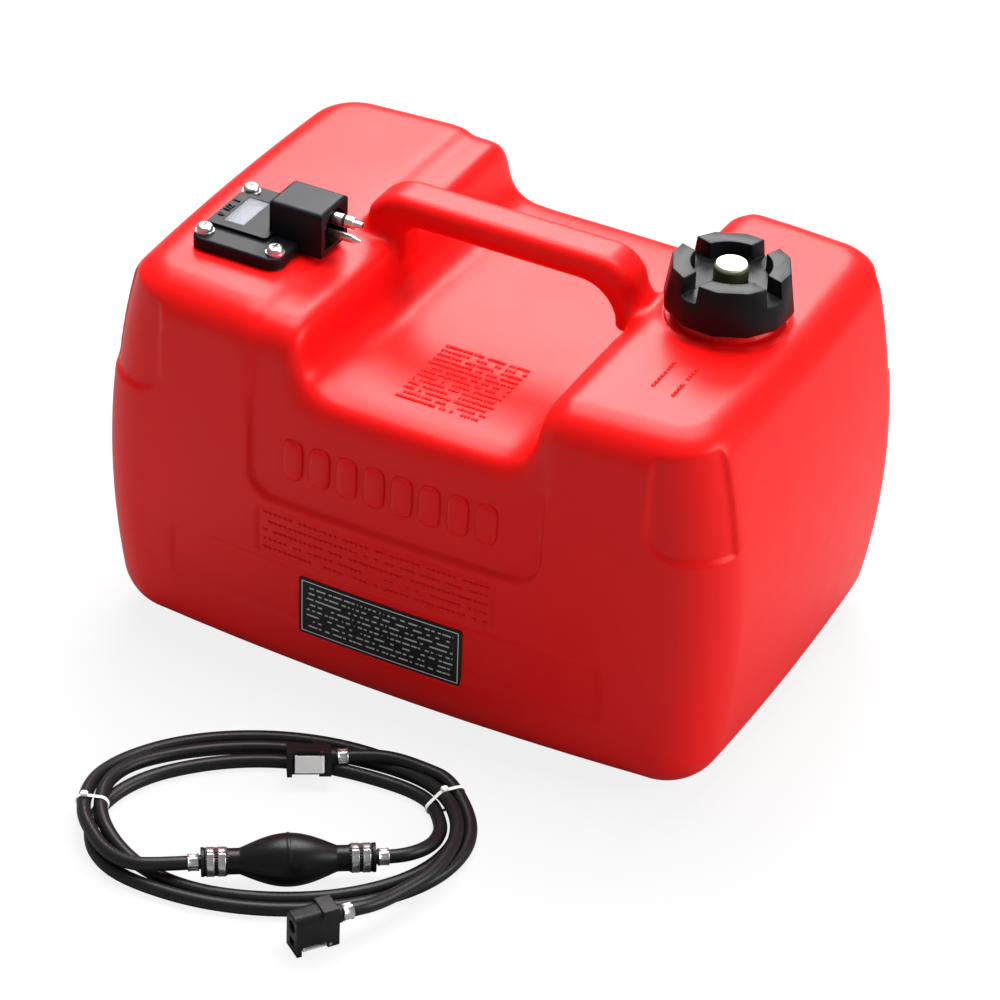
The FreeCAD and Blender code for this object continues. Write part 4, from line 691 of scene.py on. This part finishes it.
def lobe_marks_tree():
    """A three-sided raised outline on each grip lobe, open to the outside."""
    tree, given, made = new_tree(
        "lobe_marks", "GeometryNodeTree",
        (("Geometry", "Geometry", None), ("Lobes", "Int", 4), ("Reach", "Float", 0.025),
         ("Size", "Vector", (0.004, 0.006, 0.0)), ("Wire", "Float", 0.0003), ("Middle", "Vector", (0, 0, 0)),
         ("First", "Float", 0.0), ("Plastic", "Material", None)),
        (("Geometry", "Geometry"),))
    size = new_node(tree, "ShaderNodeSeparateXYZ", Vector=given["Size"]).outputs
    outline = new_node(tree, "GeometryNodeCurvePrimitiveQuadrilateral", Width=size[0], Height=size[1])
    opened = new_node(tree, "GeometryNodeSetSplineCyclic", Geometry=outline.outputs[0])
    wire = new_node(tree, "GeometryNodeCurvePrimitiveCircle", Resolution=8, Radius=given["Wire"])
    bead = new_node(tree, "GeometryNodeCurveToMesh", Curve=opened.outputs[0],
                    Profile_Curve=wire.outputs["Curve"], Fill_Caps=True)
    circle = new_node(tree, "GeometryNodeMeshCircle", Vertices=given["Lobes"], Radius=given["Reach"])
    step = arithmetic(tree, "DIVIDE", 2 * math.pi, given["Lobes"])
    heading = arithmetic(tree, "MULTIPLY", tree.nodes.new("GeometryNodeInputIndex").outputs[0], step)
    turned_by = new_node(tree, "ShaderNodeCombineXYZ", Z=heading).outputs[0]
    laid = new_node(tree, "GeometryNodeInstanceOnPoints", Points=circle.outputs[0], Instance=bead.outputs[0],
                    Rotation=turned_by)
    whole = new_node(tree, "GeometryNodeRealizeInstances", Geometry=laid.outputs[0])
    first = new_node(tree, "ShaderNodeCombineXYZ", Z=given["First"]).outputs[0]
    placed = new_node(tree, "GeometryNodeTransform", Geometry=whole.outputs[0], Translation=given["Middle"],
                      Rotation=first)
    return put_out(tree, placed.outputs[0], given, made)


lobe_marks = grown("cap_lobe_marks", lobe_marks_tree(), lobes=4, reach=0.0252, size=(0.0042, 0.0066, 0.0),
                   wire=0.0005, middle=(cap_x, cap_y, 0.2415), first=math.radians(26.0), plastic=cap_black)
add_piece("cap_lobe_marks", lobe_marks, cap_black, "cap")

# ================================================================ fuel line: the two hoses
# Black fuel hose of 7 mm, satin and smooth, lying as it was coiled: one length from the tank's
# connector to the bulb, the other from the bulb to the engine's connector.
hose_radius = 0.0035
ring_x, ring_y, ring_yaw = 0.001, -0.229, math.radians(26.0)
coil_long, coil_short = 91.5, 66.5


def on_ring(u, v, z):
    """A point from the coil's own axes: along its long way, across it and up, in millimetres."""
    u, v = u / 1000, v / 1000
    return Vector((ring_x + u * math.cos(ring_yaw) - v * math.sin(ring_yaw),
                   ring_y + u * math.sin(ring_yaw) + v * math.cos(ring_yaw), z / 1000))


def turns(first, lanes):
    """Points of a coil's turns, one each 30 degrees, from how far in each lies and how high."""
    points = []
    for i, (inset, z) in enumerate(lanes):
        angle = math.radians(first + 30 * i)
        share = (1 - inset / coil_long) / math.cos(math.radians(15))
        points.append(on_ring(coil_long * share * math.cos(angle), coil_short * share * math.sin(angle), z))
    return points


hose_a_points = [on_ring(34.5, -74.8, 14.7), on_ring(41.5, -71.1, 14.6), on_ring(49, -66.8, 13.6),
                 on_ring(59, -57, 11.6)]
hose_a_points += turns(-30, [(1.9, 10.4), (4.4, 10.0), (4.6, 8.8), (6.0, 3.8), (5.0, 3.5), (0.8, 3.5),
                             (-2.2, 8.0), (5.0, 9.6), (12.2, 3.5), (14.2, 3.5), (18.5, 3.5), (16.7, 3.5),
                             (10.8, 3.5), (4.0, 3.5), (0.2, 3.5), (-3.0, 3.5), (-6.4, 3.5), (-10.6, 3.5),
                             (-11.0, 5.0), (-2.4, 10.0)])
hose_a_points += [on_ring(-85.5, -25.5, 10.2), on_ring(-77.5, -35.5, 10.6), on_ring(-68.9, -41.3, 11.3),
                  on_ring(-58.5, -43.6, 12.3), on_ring(-34.1, -40.4, 13)]
hose_b_points = [on_ring(49.3, -30.2, 13), on_ring(59.1, -28.8, 12.9), on_ring(68.2, -24.0, 12.0),
                 on_ring(75.0, -16.3, 10.2), on_ring(78.6, -6.7, 7.9), on_ring(79.9, 6.0, 5.6)]
hose_b_points += turns(30, [(10.5, 3.5), (20.5, 3.5), (19.8, 3.5), (16.5, 3.5), (8.0, 3.5), (1.2, 3.5),
                            (-3.0, 3.5), (5.0, 3.5), (7.8, 3.5), (6.0, 3.5), (1.5, 3.5), (-3.0, 4.4),
                            (-2.6, 9.8)])
hose_b_points += [on_ring(69.5, 43.5, 10.5), on_ring(55, 51, 10), on_ring(41, 53, 9.6),
                  on_ring(25.0, 51.2, 8.9)]


def hose(name, points, material):
    """A round hose along one smooth line through its route."""
    curve = bpy.data.curves.new(name, "CURVE")
    curve.dimensions = "3D"
    spline = curve.splines.new("NURBS")
    spline.points.add(len(points) - 1)
    for point, place in zip(spline.points, points):
        point.co = (*place, 1)
    spline.order_u = 3
    spline.use_endpoint_u = True
    spline.resolution_u = 10
    curve.bevel_depth = hose_radius
    curve.bevel_resolution = 7
    curve.use_fill_caps = True
    curve.materials.append(material)
    piece = stand(name, curve)
    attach(piece, "root")
    return piece


def middle_line(piece):
    """The hose's own line, read from its spline without its thickness."""
    bare = piece.data.copy()
    bare.bevel_depth = 0
    return [v.co.copy() for v in evaluated(stand("line", bare)).vertices]


hose_black = moulded("hose_rubber", (0.010, 0.010, 0.011), 0.36, drift=0.15, gloss_drift=0.12,
                     grain_scale=1400.0, grain_depth=0.25)
hose_a = hose("tank_hose", hose_a_points, hose_black)
hose_b = hose("engine_hose", hose_b_points, hose_black)
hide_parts("hose_coil", "tank_hose_end", "inlet_hose_end")
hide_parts("outlet_hose_end", "engine_hose_end")
line_a, line_b = middle_line(hose_a), middle_line(hose_b)

# ---- ties round the coil
# Two thin white nylon ties, each pulled tight round all the strands where it sits, with its small
# square lock on top.
tie_long, tie_short, tie_reach = 84, 61, 0.04
tie_rounds = ((0.0, 0.0009), (0.0005, 0.0010), (0.0007, 0.0007))
tie_gap, table_gap = 0.0001, 0.0002
lock_size, lock_rounding, lock_lift = (0.0034, 0.0030, 0.0022), 0.0005, 0.0012


def strands_at(angle):
    """Where the hoses cross the coil's section at this angle: distance along the section, and height."""
    t = math.radians(angle)
    u, v = tie_long * math.cos(t), tie_short * math.sin(t)
    centre = on_ring(u, v, 0)
    outwards = (on_ring(u + math.cos(t) / tie_long, v + math.sin(t) / tie_short, 0) - centre).normalized()
    along = Vector((-outwards.y, outwards.x, 0))
    found = []
    for line in (line_a, line_b):
        for a, b in zip(line, line[1:]):
            da, db = (a - centre).dot(along), (b - centre).dot(along)
            if da * db <= 0 and da != db:
                crossing = a.lerp(b, da / (da - db))
                side = (crossing - centre).dot(outwards)
                if abs(side) < tie_reach:
                    found.append((side, crossing.z))
    return centre, outwards, along, found


def outer_chain(points):
    """The points on the left side of a row of points, so that the chain only turns one way."""
    out = []
    for p in points:
        while len(out) > 1 and ((out[-1][0] - out[-2][0]) * (p[1] - out[-2][1])
                                - (out[-1][1] - out[-2][1]) * (p[0] - out[-2][0])) <= 0:
            out.pop()
        out.append(p)
    return out[:-1]


def skinned(shell, rings):
    """Close a row of rings into a tube, the last one back to the first where the row holds it twice."""
    count = len(rings[0])
    for first, second in zip(rings, rings[1:]):
        for i in range(count):
            j = (i + 1) % count
            shell.faces.new((first[i], first[j], second[j], second[i]))


def tie_mesh(angle):
    """A flat band round the strands at this angle, and its lock."""
    centre, outwards, along, strands = strands_at(angle)
    reach = hose_radius + tie_gap
    rim = set()
    for side, height in strands:
        for i in range(48):
            a = 2 * math.pi * i / 48
            rim.add((side + reach * math.cos(a), height + reach * math.sin(a)))
    rim = sorted(rim)
    hull = outer_chain(rim) + outer_chain(rim[::-1])
    middle = Vector((sum(p[0] for p in hull) / len(hull), sum(p[1] for p in hull) / len(hull)))
    shell = bmesh.new()
    rings = []
    for grow, half in tie_rounds:
        for sign in (-1, 1):
            ring = []
            for s, z in hull:
                out = (Vector((s, z)) - middle).normalized() * grow
                place = centre + outwards * (s + out.x) + along * (half * sign)
                ring.append(shell.verts.new((place.x, place.y, max(z + out.y, table_gap))))
            rings.append(ring)
    skinned(shell, [rings[i] for i in (0, 2, 4, 5, 3, 1, 0)])
    top = max(hull, key=lambda p: p[1])
    lock = bmesh.ops.create_cube(shell, size=1.0)
    place = Matrix((outwards, along, Vector((0, 0, 1)))).transposed().to_4x4()
    spot = centre + outwards * top[0] + Vector((0, 0, top[1] + lock_lift))
    fit = Matrix.Translation(spot) @ place @ Matrix.Diagonal((*lock_size, 1))
    bmesh.ops.transform(shell, matrix=fit, verts=lock["verts"])
    lock_edges = list({e for v in lock["verts"] for e in v.link_edges})
    bmesh.ops.bevel(shell, geom=lock_edges, offset=lock_rounding, segments=2, affect="EDGES")
    bmesh.ops.recalc_face_normals(shell, faces=shell.faces)
    return written(shell, bpy.data.meshes.new("tie"))


tie_white = moulded("tie_nylon", (0.90, 0.90, 0.88), 0.42, drift=0.04, grain_scale=1200.0, grain_depth=0.1)
add_piece("coil_ties", joined("coil_ties", [tie_mesh(175), tie_mesh(22)]), tie_white,
          replaced=["hose_ties"], smooth_angle=35)

# ================================================================ fuel line: primer bulb
# A moulded rubber bulb, lemon shaped, with its parting line along it and a short grip rib across its
# middle. Two steel bands clamp each cuff on a hard fitting with a serrated collar.
bulb_turn = Matrix.Rotation(math.radians(33.0), 4, "Z")
bulb_place = Matrix.Translation(on_ring(7.6, -35.3, 13.0)) @ bulb_turn
bulb_half, body_half, cuff_start, seam_end = 0.0405, 0.0235, 0.0295, 0.024
neck_radius, body_swell, bulb_bore = 0.0064, 0.0066, 0.0046
seam_height, seam_width, rib_height, rib_width = 0.00028, 0.00035, 0.00045, 0.0006
cuff_rise, serration, serrations = 0.0003, 0.00022, 30


def turned(profile, radius_at, place, segments=72):
    """A round piece about its own X axis: stations of (x, r), with radius_at(x, r, angle) for relief."""
    shell = bmesh.new()
    rings = []
    for x, r in profile:
        ring = []
        for i in range(segments):
            angle = 2 * math.pi * i / segments
            radius = radius_at(x, r, angle)
            ring.append(shell.verts.new((x, radius * math.cos(angle), radius * math.sin(angle))))
        rings.append(ring)
    skinned(shell, rings + rings[:1])
    bmesh.ops.transform(shell, matrix=place, verts=shell.verts)
    bmesh.ops.recalc_face_normals(shell, faces=shell.faces)
    return written(shell, bpy.data.meshes.new("turned"))


def bulb_relief(x, r, angle):
    """The bulb's own relief: parting line and grip rib on the body, fine ribs on the cuffs."""
    if r < bulb_bore + 0.0004:
        return r
    if abs(x) < seam_end:
        up = math.cos(angle - math.pi / 2)
        seam = seam_height * math.exp(-((math.sin(angle) * r) / seam_width) ** 2)
        on_top = max(0.0, min(1.0, (up - 0.35) / 0.2))
        rib = rib_height * math.exp(-(x / rib_width) ** 2) * on_top
        return r + seam + rib
    if abs(x) > cuff_start:
        return r + cuff_rise + serration * math.cos(serrations * angle)
    return r


def bulb_mesh():
    """The bulb from end to end, with its bore."""
    stations = []
    for i in range(121):
        x = 2 * bulb_half * i / 120 - bulb_half
        swell = math.cos(math.pi * min(abs(x) / body_half, 1.0) / 2)
        stations.append((x, neck_radius + body_swell * swell ** 1.04))
    stations += [(x, bulb_bore) for x in (bulb_half, 0.0, -bulb_half)]
    return turned(stations, bulb_relief, bulb_place, segments=144)


bulb_rubber = moulded("bulb_rubber", (0.005, 0.005, 0.0055), 0.33, drift=0.15, gloss_drift=0.1,
                      grain_scale=1100.0, grain_depth=0.3)
bulb = add_piece("bulb", bulb_mesh(), bulb_rubber, replaced=["primer_bulb"])

band_starts, band_width, band_inside = (0.0302, 0.0357), 0.0036, 0.0066


def band_ear(x, r, angle):
    """The squeezed ear that draws a band tight."""
    return r if r < 0.007 else r + 0.0011 * math.exp(-((angle - 2.0) / 0.16) ** 2)


def band_mesh(side, start):
    """A pressed steel band with rolled edges, on one cuff."""
    half = [(0.0, band_inside), (0.0, 0.0071), (0.0003, 0.00735), (0.0008, 0.0072)]
    profile = [(side * (start + x), r) for x, r in half]
    profile += [(side * (start + band_width - x), r) for x, r in reversed(half)]
    return turned(profile, band_ear, bulb_place, segments=96)


band_steel = metal("band_steel", (0.72, 0.72, 0.72), 0.20, lines=(400.0, 400.0, 400.0), gloss_drift=0.22)
band_meshes = [band_mesh(side, start) for side in (-1, 1) for start in band_starts]
bands = add_piece("bulb_clamps", joined("bulb_clamps", band_meshes), band_steel,
                  replaced=["bulb_bands"], smooth_angle=40)
fitting_black = moulded("fitting_black", (0.007, 0.007, 0.008), 0.42, drift=0.12, gloss_drift=0.08,
                        grain_scale=1500.0, grain_depth=0.35)
clad("bulb_inlet", fitting_black)
clad("bulb_outlet", fitting_black)


# ---- crimped sleeves on the hose ends
# Each of the four hose ends is held on its barb by a short steel sleeve, squeezed in eight flats.
def sleeve_flats(x, r, angle):
    """Eight flats squeezed in the sleeve between its rolled ends."""
    if r < 0.0036 or not 0.0016 < x < 0.0056:
        return r
    return r - 0.00035 * abs(math.cos(4 * angle)) ** 3


def sleeve_mesh(path):
    """A crimped sleeve over the first millimetres of a hose's line."""
    start = path[0]
    ahead = next(p for p in path if (p - start).length > 0.006)
    axis = (ahead - start).normalized()
    side = axis.cross(Vector((0, 0, 1))).normalized()
    place = Matrix.Translation(start) @ Matrix((axis, side, axis.cross(side))).transposed().to_4x4()
    profile = [(0.0009, 0.0034), (0.0009, 0.0041), (0.0013, 0.0044), (0.0020, 0.0042), (0.0052, 0.0042),
               (0.0059, 0.0044), (0.0063, 0.0041), (0.0063, 0.0034)]
    return turned(profile, sleeve_flats, place, segments=64)


sleeve_steel = metal("sleeve_steel", (0.70, 0.70, 0.71), 0.22, lines=(500.0, 500.0, 500.0), gloss_drift=0.2)
sleeve_meshes = [sleeve_mesh(path) for line in (line_a, line_b) for path in (line, line[::-1])]
sleeves = add_piece("hose_sleeves", joined("hose_sleeves", sleeve_meshes), sleeve_steel,
                    replaced=["hose_ferrules"], smooth_angle=40)

# ================================================================ fuel line: quick connectors
# Two alike black connectors: a round bore for the fuel pin over a square hole for the guide pin, with
# a sprung steel latch underneath that snaps behind the pin's hood. Behind the bore's valve plunger sits
# a coil spring, its inner end on the connector's shoulder.
latch_steel = metal("latch_steel", (0.92, 0.92, 0.91), 0.36, lines=(500.0, 500.0, 500.0), gloss_drift=0.15)
painted(latch_steel, Metallic=0.55)
for owner, heading in (("tank", math.radians(54.0)), ("engine", math.radians(31.0))):
    plug_mesh = eased(merged_copy(owner + "_connector"), 0.00035)
    add_piece(owner + "_plug", plug_mesh, fitting_black,
              replaced=[owner + "_connector"], smooth_angle=35)
    clad(owner + "_connector_barb", fitting_black)
    clad(owner + "_plunger", fitting_black)
    clad(owner + "_latch", latch_steel)
    clad(owner + "_latch_pin", screw_steel)
    spring_mesh = merged_copy(owner + "_plunger_spring")
    spring = add_piece(owner + "_valve_spring", spring_mesh, screw_steel,
                       replaced=[owner + "_plunger_spring"], smooth_angle=60)
    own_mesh(spring)
